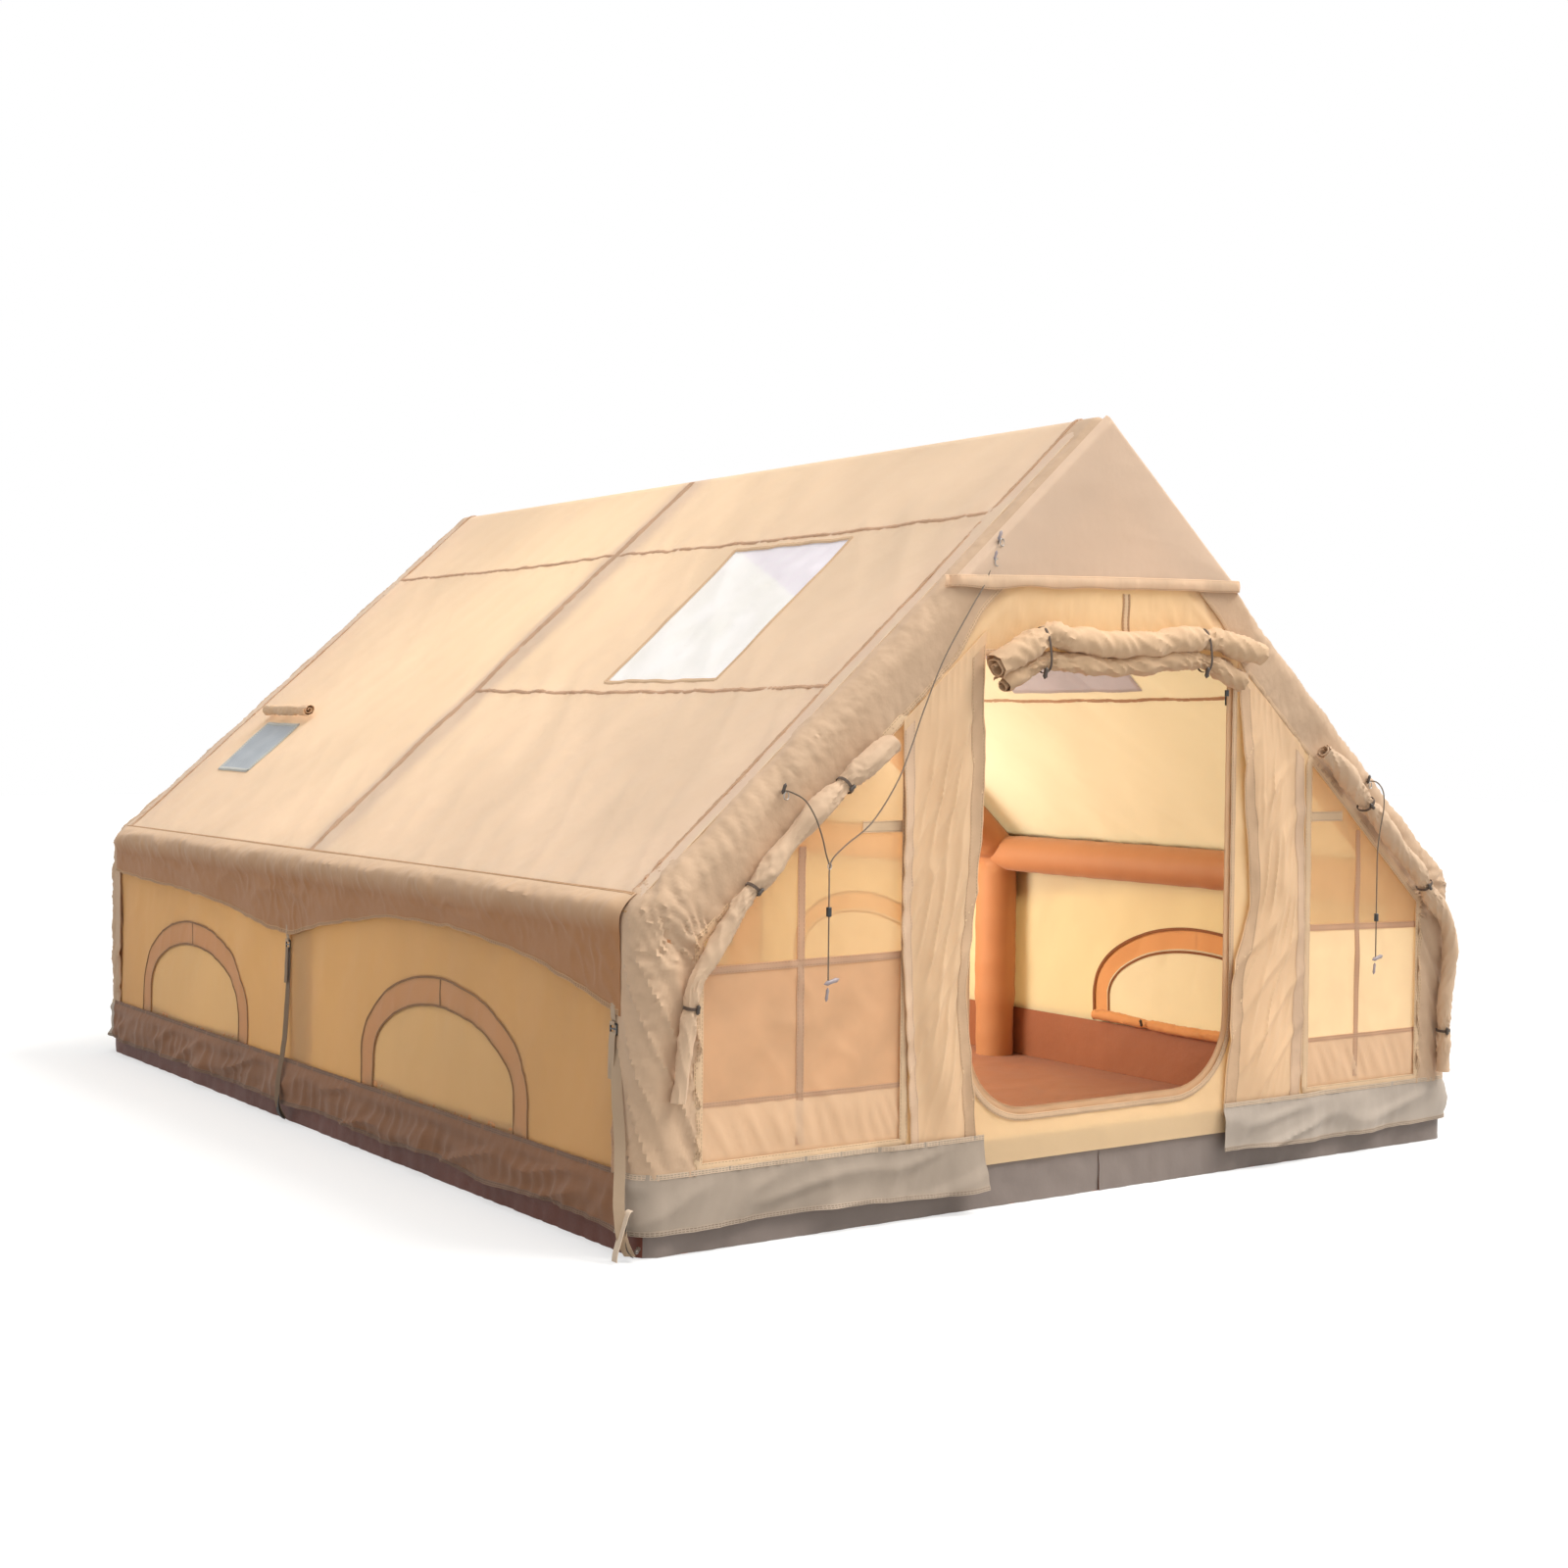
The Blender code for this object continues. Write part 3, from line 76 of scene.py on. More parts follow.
# %% [markdown]
# The outline of the tent seen from the front is a house. Real cloth can't fold sharply over an inflated
# tube, so the outline is rounded at the eaves and the ridge. Every skin takes its place from this line:
# a distance along it from the ridge, and a direction that points out of the tent.

# %% The house outline
half_width, half_length = 1.5, 2.0
ridge_height, eave_height = 2.17, 0.84
pitch = math.atan2(ridge_height - eave_height, half_width)
slope_length = math.hypot(half_width, ridge_height - eave_height)
eave_radius, ridge_radius = 0.09, 0.03
arch_depth, tube_radius, beam_radius = 0.085, 0.08, 0.07
front_arch, mid_arch, rear_arch = -1.915, 0.12, 1.915
eave_turn = math.pi / 2 - pitch
eave_reach = eave_radius * math.tan(eave_turn / 2)
ridge_reach = ridge_radius * math.tan(pitch)
ridge_arc = ridge_radius * pitch
slope_end = ridge_arc + slope_length - ridge_reach - eave_reach
wall_start = slope_end + eave_radius * eave_turn
eave_middle = (slope_end + wall_start) / 2


def house_line(s):
    """Place (x, z) and outward direction on the outline, s metres from the ridge, right is positive."""
    side, s = np.sign(s) + (s == 0), np.abs(s)
    ridge_angle = np.minimum(s / ridge_radius, pitch)
    eave_angle = np.clip((s - slope_end) / eave_radius, 0, eave_turn)
    angle = ridge_angle + eave_angle
    ridge_centre = ridge_height - ridge_radius / math.cos(pitch)
    x = ridge_radius * np.sin(ridge_angle)
    z = ridge_centre + ridge_radius * np.cos(ridge_angle)
    straight = np.clip(s - ridge_arc, 0, slope_end - ridge_arc)
    x = x + straight * math.cos(pitch)
    z = z - straight * math.sin(pitch)
    x = x + eave_radius * (np.sin(pitch + eave_angle) - math.sin(pitch))
    z = z - eave_radius * (math.cos(pitch) - np.cos(pitch + eave_angle))
    z = z - np.maximum(s - wall_start, 0)
    return side * x, z, side * np.sin(angle), np.cos(angle)


def roof_height(x, depth):
    """Height of the roof line at x, a set depth inside its outer face."""
    return ridge_height - depth / math.cos(pitch) - np.abs(x) * math.tan(pitch)


print("eave at", round(slope_end, 3), "m from the ridge, wall from", round(wall_start, 3))

# %% [markdown]
# Cloth shows its making in its folds. Long soft ridges come from tension, and short sharp ones from
# gathered seams. Both are sums of a few waves with seeded random directions, so each run is the same.

# %% Folds
def folds(along, over, length, seed, lean=0.0, spread=0.3):
    """Soft random ridges, about -1 to 1, that run along one way and repeat over the other."""
    chance = np.random.default_rng(seed)
    total = np.zeros_like(along)
    for _ in range(6):
        angle = chance.normal(lean, spread)
        size = length * chance.uniform(0.6, 1.7)
        phase = chance.uniform(0, 2 * math.pi)
        total += np.cos(2 * math.pi * (over * math.cos(angle) + along * math.sin(angle)) / size + phase)
    return total / 3


def creases(along, over, length, seed, lean=0.0, spread=0.5):
    """Sharp ridges with soft valleys, about 0 to 1."""
    return np.maximum(1 - 1.6 * np.abs(folds(along, over, length, seed, lean, spread)), 0)


def fade(value, start, end):
    """0 before start, 1 after end, smooth between."""
    share = np.clip((value - start) / (end - start), 0, 1)
    return share * share * (3 - 2 * share)


def hill(value, middle, width):
    """1 at the middle, with a smooth fall to 0 on both sides."""
    return np.exp(-((value - middle) / width) ** 2)


def arc(share):
    """0 at both ends of a share from 0 to 1, and 1 half way."""
    return np.sin(math.pi * np.clip(share, 0, 1))

# %% [markdown]
# A sheet of cloth starts as a grid primitive. Its points are then put where the cloth lies, its UV map is
# set in metres so that weave has its real size, and a Solidify modifier gives it thickness.

# %% Sheets
cloth_thickness, tape_thickness, film_thickness = 0.0018, 0.0012, 0.0006
hem_allowance, weld_reach = 0.015, 0.0002


def points_of(piece):
    co = np.empty(len(piece.data.vertices) * 3)
    piece.data.vertices.foreach_get("co", co)
    return co.reshape(-1, 3)


def set_points(piece, points):
    piece.data.vertices.foreach_set("co", np.ascontiguousarray(points, dtype=float).ravel())
    piece.data.update()


def pick(piece):
    bpy.ops.object.select_all(action="DESELECT")
    piece.select_set(True)
    bpy.context.view_layer.objects.active = piece


def apply(piece, kind, **settings):
    """Adds a modifier, sets it and applies it."""
    pick(piece)
    change = piece.modifiers.new(kind.lower(), kind)
    for key, value in settings.items():
        setattr(change, key, value)
    bpy.ops.object.modifier_apply(modifier=change.name)


def smooth(piece, degrees=40):
    pick(piece)
    bpy.ops.object.shade_smooth_by_angle(angle=math.radians(degrees))


def change_uv(piece, change):
    layer = piece.data.uv_layers.active.data
    uv = np.empty(len(layer) * 2)
    layer.foreach_get("uv", uv)
    layer.foreach_set("uv", change(uv.reshape(-1, 2)).ravel())


def sheet_piece(name, place, columns, rows, size, thickness=cloth_thickness):
    """A thick sheet. place(u, v) gives x, y, z for u and v from 0 to 1; size is its cut in metres."""
    piece = added(bpy.ops.mesh.primitive_grid_add, x_subdivisions=columns, y_subdivisions=rows, size=2)
    piece.name = name
    u, v = (points_of(piece)[:, :2].T + 1) / 2
    set_points(piece, np.column_stack([values + 0 * u for values in place(u, v)]))
    change_uv(piece, lambda uv: uv * np.array(size))
    apply(piece, "SOLIDIFY", thickness=thickness, offset=0.0)
    smooth(piece)
    return piece


def strip_piece(name, place, columns, width, length, rows=4, thickness=tape_thickness):
    """A narrow tape, with a UV map that holds the metres along it and from its nearest edge."""
    piece = sheet_piece(name, place, columns, rows, (1, 1), thickness)
    change_uv(piece, lambda uv: np.column_stack((uv[:, 0] * length,
                                                 np.minimum(uv[:, 1], 1 - uv[:, 1]) * width)))
    return piece


def loop_piece(name, place, columns, rows, size):
    """A sheet whose ends meet and are welded."""
    piece = sheet_piece(name, place, columns, rows, size, tape_thickness)
    apply(piece, "WELD", merge_threshold=weld_reach)
    return piece


def dress(piece, material, nodes=(), body="tent"):
    """Gives a piece its finish and its body, and hides the CAD nodes that it stands for."""
    piece.data.materials.clear()
    piece.data.materials.append(material)
    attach(piece, body)
    if nodes:
        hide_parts(*nodes)
    return piece


def glow_inside(piece, material):
    """Gives the faces that look into the house a second material: a brighter copy of the cloth that paints the
    glow of light through it.
    """
    piece.data.materials.append(material)
    for face in piece.data.polygons:
        if face.normal.dot(Vector((0, 0, 0.9)) - face.center) > 0:
            face.material_index = 1


# %% [markdown]
# ## Finishes
# The cloth is a thin coated weave. Its colour drifts a little where it is stretched or handled, the weave
# shows close up, fine crumples show from a step away, and light comes through from behind. A Principled
# shader gives the surface and a Translucent one lets the light through.

# %% Nodes
def linear(red, green, blue):
    """A colour from its 0 to 255 sRGB values."""
    return tuple(((c / 255 + 0.055) / 1.055) ** 2.4 if c > 10 else c / 255 / 12.92 for c in (red, green, blue))


class Graph:
    """The nodes of a material or a world. An input given as a socket is linked, and any other is a value."""

    def __init__(self, owner):
        self.owner = owner
        owner.use_nodes = True
        self.nodes, self.links = owner.node_tree.nodes, owner.node_tree.links
        self.shader, self.output = self.nodes.get("Principled BSDF"), self.nodes.get("Material Output")

    def fill(self, node, inputs):
        for key, value in inputs.items():
            if isinstance(value, bpy.types.NodeSocket):
                self.links.new(value, node.inputs[key])
            else:
                node.inputs[key].default_value = value
        return node

    def add(self, kind, inputs, **settings):
        node = self.nodes.new("ShaderNode" + kind)
        for key, value in settings.items():
            setattr(node, key, value)
        return self.fill(node, inputs)

    def place(self, kind):
        return self.add("TexCoord", {}).outputs[kind]

    def noise(self, scale, detail=3.0):
        vector = self.place("Object")
        return self.add("TexNoise", {"Vector": vector, "Scale": scale, "Detail": detail}).outputs["Fac"]

    def drift(self, share, colour, dark, light, low=0.35, high=0.65):
        """The colour, from a darker to a lighter shade of it."""
        ramp = self.add("ValToRGB", {"Fac": share})
        for element, position, factor in zip(ramp.color_ramp.elements, (low, high), (dark, light)):
            element.position = position
            element.color = (*(min(c * factor, 1.0) for c in colour), 1)
        return ramp.outputs["Color"]

    def bump(self, height, strength, distance, under=None):
        inputs = {"Strength": strength, "Distance": distance, "Height": height}
        return self.add("Bump", inputs if under is None else {**inputs, "Normal": under}).outputs["Normal"]

    def weave(self, scale, strength, distance, distortion=0.0):
        """Threads along both ways of the cloth."""
        threads = None
        for axis in "XY":
            inputs = {"Vector": self.place("UV"), "Scale": scale, "Distortion": distortion}
            wave = self.add("TexWave", inputs, bands_direction=axis)
            threads = self.bump(wave.outputs["Fac"], strength, distance, threads)
        return threads

    def finish(self, inputs, through=0.0, glow=None):
        """Fills the shader, and lets a share of the light behind come through."""
        self.fill(self.shader, inputs)
        if through:
            back = self.add("BsdfTranslucent", {"Color": (*glow, 1)})
            mix = self.add("MixShader", {0: through, 1: self.shader.outputs["BSDF"], 2: back.outputs["BSDF"]})
            self.fill(self.output, {"Surface": mix.outputs[0]})
        return self.owner


# %% Cloth finish
def cloth_finish(name, colour, through=0.0, glow=None, crumple=0.5, roughness=0.75, weave=0.25, painted_shade=None):
    """Coated cloth of one colour. through is the share of light that passes; an optional painted shade darkens it
    lower down.
    """
    graph = Graph(bpy.data.materials.new(name))
    tint = graph.drift(graph.noise(1.7, 4.0), linear(*colour), 0.93, 1.05)
    # Painted shade: below a given height the colour turns to a darker one.
    if painted_shade:
        split = graph.add("SeparateXYZ", {0: graph.place("Object")})
        rise = graph.add("MapRange", {"Value": split.outputs["Z"], "From Min": painted_shade[0], "From Max": painted_shade[1]})
        deep = (*linear(*painted_shade[2]), 1)
        tint = graph.add("MixRGB", {0: rise.outputs["Result"], 1: deep, 2: tint}).outputs[0]
    normal = graph.weave(160.0, weave, 0.0003, 0.6)
    normal = graph.bump(graph.noise(38.0), crumple * 0.5, 0.002, normal)
    normal = graph.bump(graph.noise(9.0, 4.0), crumple, 0.008, normal)
    return graph.finish({"Base Color": tint, "Normal": normal, "Roughness": roughness, "Sheen Weight": 0.15,
                         "Sheen Roughness": 0.5}, through, linear(*(glow or colour)))


roof_cloth = cloth_finish("roof cloth", (238, 210, 186), 0.27, (255, 244, 214), 0.4)
# The inside faces are painted with glow: paler, yellower copies of the cloth stand in for daylight shining
# through it.
roof_inside_glow = cloth_finish("roof inside, painted glow", (255, 254, 232), 0.45, (255, 253, 228), 0.3)
wall_inside_glow = cloth_finish("wall inside, painted glow", (255, 246, 210), 0.42, (255, 245, 202), 0.3)
window_inside_glow = cloth_finish("window inside, painted glow", (255, 248, 222), 0.4, (255, 248, 220), 0.3)
window_band_inside_glow = cloth_finish("window band inside, painted glow", (232, 172, 116), 0.24, (255, 206, 140), 0.3)
band_cloth = cloth_finish("arch cover cloth", (216, 184, 152), 0.12, (245, 200, 145), 0.9)
end_cloth = cloth_finish("door wall cloth", (242, 212, 178), 0.40, (255, 238, 204), 0.35)
side_cloth = cloth_finish("side wall cloth", (204, 160, 112), 0.28, (255, 230, 178), 0.35)
# The valance is painted in shade: its upright lower part turns darker than its top on the eave.
valance_cloth = cloth_finish("valance cloth", (216, 184, 150), 0.05, (230, 180, 125), 0.4,
                             painted_shade=(0.785, 0.89, (174, 122, 78)))
flap_cloth = cloth_finish("door flap cloth", (250, 220, 182), 0.3, (255, 230, 180), 0.35)
roll_cloth = cloth_finish("rolled cloth", (222, 186, 148), 0.05, (240, 190, 130), 0.9)
skirt_cloth = cloth_finish("front skirt cloth", (188, 174, 160), 0.05, (220, 190, 155), 0.3)
shaded_skirt_cloth = cloth_finish("front skirt cloth in shade", (172, 156, 140), 0.05, (220, 190, 155), 0.3)
# The side skirts are painted in shade: darker and browner than the front skirt.
shaded_side_skirt_cloth = cloth_finish("side skirt cloth in shade", (138, 94, 62), 0.0, None, 0.4)
tub_cloth = cloth_finish("tub cloth", (140, 126, 118), 0.0, None, 0.4, 0.6)
# The tub's sides are painted in shade: a darker, browner copy of the tub cloth.
shaded_side_tub_cloth = cloth_finish("side tub cloth in shade", (102, 46, 24), 0.0, None, 0.4, 0.6)
floor_cloth = cloth_finish("floor cloth", (160, 96, 62), 0.0, None, 0.6, 0.6)
sleeve_cloth = cloth_finish("tube sleeve cloth", (196, 134, 88), 0.0, None, 0.4, 0.65)
window_cloth = cloth_finish("window cover cloth", (210, 172, 126), 0.32, (255, 234, 190), 0.35)
patch_cloth = cloth_finish("heat-proof patch", (158, 165, 172), 0.0, None, 0.5, 0.45)
web_cloth = cloth_finish("strap webbing", (184, 158, 130), 0.0, None, 0.2, 0.7, weave=0.9)
tail_cloth = cloth_finish("strap tail webbing", (222, 200, 176), 0.0, None, 0.2, 0.7, weave=0.9)
cord_cloth = cloth_finish("braided cord", (140, 122, 104), 0.0, None, 0.2, 0.7, weave=1.0)
window_band_cloth = cloth_finish("window band cloth", (200, 160, 116), 0.26, (255, 220, 165), 0.35)
screen_roll_cloth = cloth_finish("rolled screen mesh", (214, 178, 140), 0.05, (240, 190, 130), 0.9)
cover_roll_cloth = cloth_finish("rolled cover cloth", (222, 190, 158), 0.08, (240, 200, 150), 0.5)
kick_cloth = cloth_finish("window foot cloth", (242, 212, 178), 0.3, (255, 228, 180), 0.4)
curtain_cloth = cloth_finish("curtain cloth", (222, 156, 98), 0.05, (255, 190, 120), 0.8)
tie_cloth = cloth_finish("tie webbing", (86, 68, 54), 0.0, None, 0.3, 0.7, weave=0.9)
# Darker webbing for the straps at the middle arch.
mid_web = cloth_finish("darker webbing", (128, 104, 80), 0.0, None, 0.2, 0.7, weave=0.9)
dark_web = cloth_finish("dark webbing", (52, 44, 38), 0.0, None, 0.3, 0.7, weave=0.9)
zip_cloth = cloth_finish("zip tape cloth", (226, 190, 150), 0.25, (255, 220, 165), 0.3, 0.6, weave=0.6)
print("cloth finishes made")

# %% [markdown]
# Seams are sewn tapes with two rows of stitches. The strips' UV maps hold the distance from the nearest
# edge, so one material can place both rows 3.5 mm in, as small dark dashes with dimples.

# %% Stitched finish
stitch_inset, stitch_width, stitch_pitch = 0.0035, 0.0009, 0.005


def stitched(name, colour, thread, through=0.2):
    """Tape with a row of stitches along each edge."""
    graph = Graph(bpy.data.materials.new(name))
    split = graph.add("SeparateXYZ", {"Vector": graph.place("UV")}).outputs
    row = graph.add("Math", {0: split["Y"], 1: stitch_inset, 2: stitch_width}, operation="COMPARE")
    dash = graph.add("Math", {0: split["X"], 1: stitch_pitch}, operation="PINGPONG")
    gap = graph.add("Math", {0: dash.outputs[0], 1: stitch_pitch * 0.3}, operation="GREATER_THAN")
    stitch = graph.add("Math", {0: row.outputs[0], 1: gap.outputs[0]}, operation="MULTIPLY").outputs[0]
    tint = graph.drift(graph.noise(6.0, 4.0), linear(*colour), 0.9, 1.06)
    mix = graph.add("Mix", {"Factor": stitch, "A": tint, "B": (*linear(*thread), 1)}, data_type="RGBA")
    normal = graph.bump(graph.noise(45.0), 0.5, 0.003, graph.bump(stitch, 0.6, 0.0006))
    return graph.finish({"Base Color": mix.outputs["Result"], "Normal": normal, "Roughness": 0.75}, through,
                        linear(*colour))


seam_tape = stitched("stitched seam", (232, 202, 172), (198, 166, 134), 0.45)
hem_tape = stitched("stitched hem", (228, 194, 158), (182, 148, 114), 0.12)
dark_tape = stitched("dark stitched tape", (190, 150, 112), (146, 112, 82), 0.0)
# Side skirt seam tape in painted shade.
shaded_side_skirt_tape = stitched("side skirt seam in shade", (134, 104, 84), (98, 76, 60), 0.0)
pale_tape = stitched("pale stitched tape", (238, 206, 168), (190, 156, 120), 0.12)
gable_tape = stitched("gable hem", (246, 218, 186), (206, 172, 136), 0.3)
skirt_binding = stitched("skirt binding", (222, 198, 172), (168, 148, 128), 0.1)
flap_hem = stitched("flap hem", (240, 208, 176), (190, 156, 120), 0.2)
# The inner hem is folded to the shadow side: its darker colour is painted shade.
shaded_inner_hem = stitched("flap inner hem in shade", (222, 186, 150), (178, 144, 112), 0.1)
patch_tape = stitched("patch border", (196, 196, 190), (150, 150, 146), 0.0)
binding_line = stitched("window seam", (150, 112, 76), (112, 84, 58), 0.05)
inner_line = stitched("inner window seam", (150, 92, 48), (112, 70, 38), 0.0)
skirt_tape = stitched("skirt seam", (178, 160, 142), (130, 112, 96), 0.0)


# %% [markdown]
# ## Insect mesh, clear film and plastic
# The mesh is a fine grid of threads: from a few steps away it reads as a tan veil that shows what is
# behind it. The roof panes are cloudy film. Buckles, runners and the valve are moulded plastic.

# %% Mesh, film and plastic finishes
def veil_finish(name, colour, alpha, glow, painted_glow=0.0, painted_glow_colour=(1, 0.98, 0.95)):
    """A veil or a film, with an optional painted glow: light that it gives off where it shows in front of a
    bright inside.
    """
    graph = Graph(bpy.data.materials.new(name))
    broad = graph.noise(7.0)
    normal = graph.bump(broad, 0.25, 0.01, graph.weave(210.0, 0.6, 0.0004))
    tint = graph.drift(broad, colour, 0.92, 1.05)
    return graph.finish({"Base Color": tint, "Normal": normal, "Roughness": 0.6, "Alpha": alpha,
                         "Emission Color": (*painted_glow_colour, 1), "Emission Strength": painted_glow}, 0.25, glow)


def plastic_finish(name, colour, roughness, metal=0.0):
    graph = Graph(bpy.data.materials.new(name))
    tint = graph.drift(graph.noise(40.0, 4.0), colour, 1.0, 1.6, 0.4, 0.8)
    return graph.finish({"Base Color": tint, "Normal": graph.bump(graph.noise(300.0, 2.0), 0.25, 0.0002),
                         "Roughness": roughness, "Coat Weight": 0.15, "Metallic": metal})


mesh_veil = veil_finish("insect mesh", linear(252, 220, 178), 0.36, linear(255, 232, 186))
# The right lower mesh: a brighter copy with a painted orange glow of the bright inside behind it.
bright_veil = veil_finish("insect mesh in the light", linear(255, 234, 200), 0.72, linear(255, 242, 208), 0.26,
                          (1.0, 0.72, 0.4))
lower_veil = veil_finish("close insect mesh", linear(244, 206, 166), 0.78, linear(255, 224, 178))
# Both roof films give off a faint painted glow.
roof_film = veil_finish("clear film", (1.0, 1.0, 0.95), 0.96, (1.0, 1.0, 0.96), 0.24)
# Painted sky: a lavender copy of the film for one triangle of each pane, the sky seen through the other pane.
painted_sky_film = veil_finish("clear film with painted sky", (0.88, 0.84, 0.92), 0.96, (0.95, 0.92, 0.96), 0.24)
# From inside, the film is a dim copy in painted shade.
shaded_inner_film = veil_finish("clear film from inside, painted shade", (0.60, 0.55, 0.57), 0.96, (0.62, 0.58, 0.6))
black_plastic = plastic_finish("black plastic", (0.02, 0.02, 0.02), 0.35)
valve_plastic = plastic_finish("valve plastic", (0.08, 0.08, 0.09), 0.4)
valve_rubber = plastic_finish("valve rubber", (0.25, 0.14, 0.08), 0.65)
toggle_plastic = plastic_finish("toggle plastic", (0.05, 0.035, 0.025), 0.4)
pale_plastic = plastic_finish("pale plastic", linear(150, 138, 140), 0.4)
steel = plastic_finish("ring steel", (0.35, 0.34, 0.33), 0.3, 1.0)

solid_finishes = {"buckle": black_plastic, "runner": black_plastic, "slider": black_plastic,
                  "valve_body": valve_plastic, "valve_cap": valve_plastic, "poppet": valve_rubber}
for node_name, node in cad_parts.items():
    for word, material in solid_finishes.items():
        if word in node_name:
            node.data.materials.clear()
            node.data.materials.append(material)
print("plastics on", sum("buckle" in name or "runner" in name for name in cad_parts),
      "buckles and runners")

# %% [markdown]
# ## Cords first
# Two guy lines hang spare down the front. Both are limp 4 mm braided cords that start at a sewn loop and
# end in a runner and a plastic end piece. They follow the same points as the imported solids.

# %% Cord routes
cord_diameter = 0.004
left_route = [
    (-0.402, -2.0049, 1.800), (-0.425, -2.006, 1.735), (-0.455, -2.010, 1.675), (-0.509, -2.014, 1.601),
    (-0.599, -2.022, 1.474), (-0.675, -2.036, 1.341), (-0.735, -2.060, 1.243), (-0.800, -2.084, 1.150),
    (-0.880, -2.088, 1.052), (-0.958, -2.084, 0.996), (-0.998, -2.082, 0.962), (-1.0075, -2.082, 0.935),
    (-1.008, -2.082, 0.905), (-1.008, -2.082, 0.850), (-1.008, -2.082, 0.750), (-1.008, -2.082, 0.655),
]
branch_route = [
    (-1.095, -2.0008, 1.130), (-1.094, -2.030, 1.129), (-1.076, -2.068, 1.110), (-1.056, -2.085, 1.070),
    (-1.036, -2.088, 1.020), (-1.022, -2.087, 0.975), (-1.012, -2.086, 0.950),
]
right_route = [
    (1.085, -2.0008, 1.140), (1.084, -2.040, 1.138), (1.074, -2.074, 1.110), (1.066, -2.084, 1.060),
    (1.050, -2.086, 1.000), (1.041, -2.084, 0.930), (1.040, -2.084, 0.850), (1.040, -2.084, 0.760),
    (1.040, -2.084, 0.680), (1.040, -2.084, 0.607),
]


def even_points(line, count):
    """Evenly spaced points along a line of points, and its length."""
    run = np.concatenate(([0], np.cumsum(np.linalg.norm(np.diff(line, axis=0), axis=1))))
    even = np.linspace(0, run[-1], count)
    return np.column_stack([np.interp(even, run, line[:, i]) for i in range(line.shape[1])]), run[-1]


def directions(line):
    """Unit directions along a line of points."""
    way = np.gradient(line, axis=0)
    return way / np.linalg.norm(way, axis=1)[:, None]


def number_at(u, count):
    """The number of the point at a share of a line."""
    return np.clip(np.round(u * count).astype(int), 0, count)


def smooth_route(knots, count):
    """Evenly spaced points on a smooth curve through the knots."""
    knots = np.array(knots, float)
    padded = np.vstack((knots[0], knots, knots[-1]))
    share = np.linspace(0, 1, 24, endpoint=False)[:, None]
    fine = []
    for a, b, c, d in zip(padded, padded[1:], padded[2:], padded[3:]):
        fine.append(b * (2 * share**3 - 3 * share**2 + 1) + (c - a) / 2 * (share**3 - 2 * share**2 + share)
                    + c * (3 * share**2 - 2 * share**3) + (d - b) / 2 * (share**3 - share**2))
    return even_points(np.vstack((*fine, knots[-1:])), count)


def cord_piece(name, knots, count, node, **facts):
    route, length = smooth_route(knots, count)
    curve = bpy.data.curves.new(name, "CURVE")
    curve.dimensions = "3D"
    curve.bevel_depth = cord_diameter / 2
    curve.bevel_resolution = 3
    curve.use_fill_caps = True
    spline = curve.splines.new("POLY")
    spline.points.add(count - 1)
    for point, place in zip(spline.points, route):
        point.co = (*place, 1)
    piece = bpy.data.objects.new(name, curve)
    bpy.context.collection.objects.link(piece)
    piece.data.materials.append(cord_cloth)
    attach(piece, "tent")
    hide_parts(node)
    print(name, round(length, 3), "m")


# %% [markdown]
# ## Inside: the inflated frame
# Three arches stand on six feet, and four beams space them at the eaves. A sewn sleeve holds each air
# tube round and smooth, and gathers into small folds where the tube bends.

# %% Tubes
wall_top = eave_height - eave_reach
wall_foot = wall_start + wall_top


def wide_frame(s):
    """Place on the outline, and a direction that turns slowly round the bends, for points deep inside."""
    side, run = np.sign(s) + (s == 0), np.abs(s)
    x, z, _, _ = house_line(s)
    corner = eave_middle
    angle = pitch * np.clip(run / 0.15, 0, 1) + eave_turn * np.clip((run - corner + 0.13) / 0.26, 0, 1)
    return x, z, side * np.sin(angle), np.cos(angle)


def arch_tube(name, y, radius, seed):
    foot = wall_foot - 0.004
    inward = 0.005 if y == mid_arch else 0.0

    def place(u, v):
        s = (2 * u - 1) * foot
        x, z, nx, nz = wide_frame(s)
        turn = 2 * math.pi * v
        inner = hill(np.abs(s), eave_middle, 0.12) * fade(-np.cos(turn), -0.2, 0.9)
        ridges = creases(turn * radius, s, 0.035, seed, spread=0.15)
        r = radius + inner * (ridges * 0.006 - 0.004)
        slack = folds(turn * radius, s, 0.11, seed + 1) * 0.0012
        r = r + slack - 0.006 * fade(np.abs(s), foot - 0.24, foot - 0.16)
        out = r * np.cos(turn) - arch_depth - inward * fade(np.abs(s), wall_start - 0.02, wall_start + 0.05)
        return x + nx * out, y + r * np.sin(turn), z + nz * out

    return loop_piece(name, place, 260, 32, (2 * foot, 2 * math.pi * radius))


def beam_tube(name, side, radius, seed):
    x0, z0 = side * (half_width - arch_depth), roof_height(half_width - arch_depth, arch_depth)

    def place(u, v):
        y = front_arch + (rear_arch - front_arch) * u
        turn = 2 * math.pi * v
        near = np.minimum(np.abs(y - mid_arch), np.minimum(y - front_arch, rear_arch - y))
        r = radius + folds(turn * radius, y, 0.12, seed) * 0.001
        r = r - hill(near, 0, 0.16) * creases(y, turn * radius, 0.03, seed + 1, spread=0.2) * 0.003
        return x0 + r * np.cos(turn), y, z0 + r * np.sin(turn)

    return loop_piece(name, place, 170, 28, (rear_arch - front_arch, 2 * math.pi * radius))


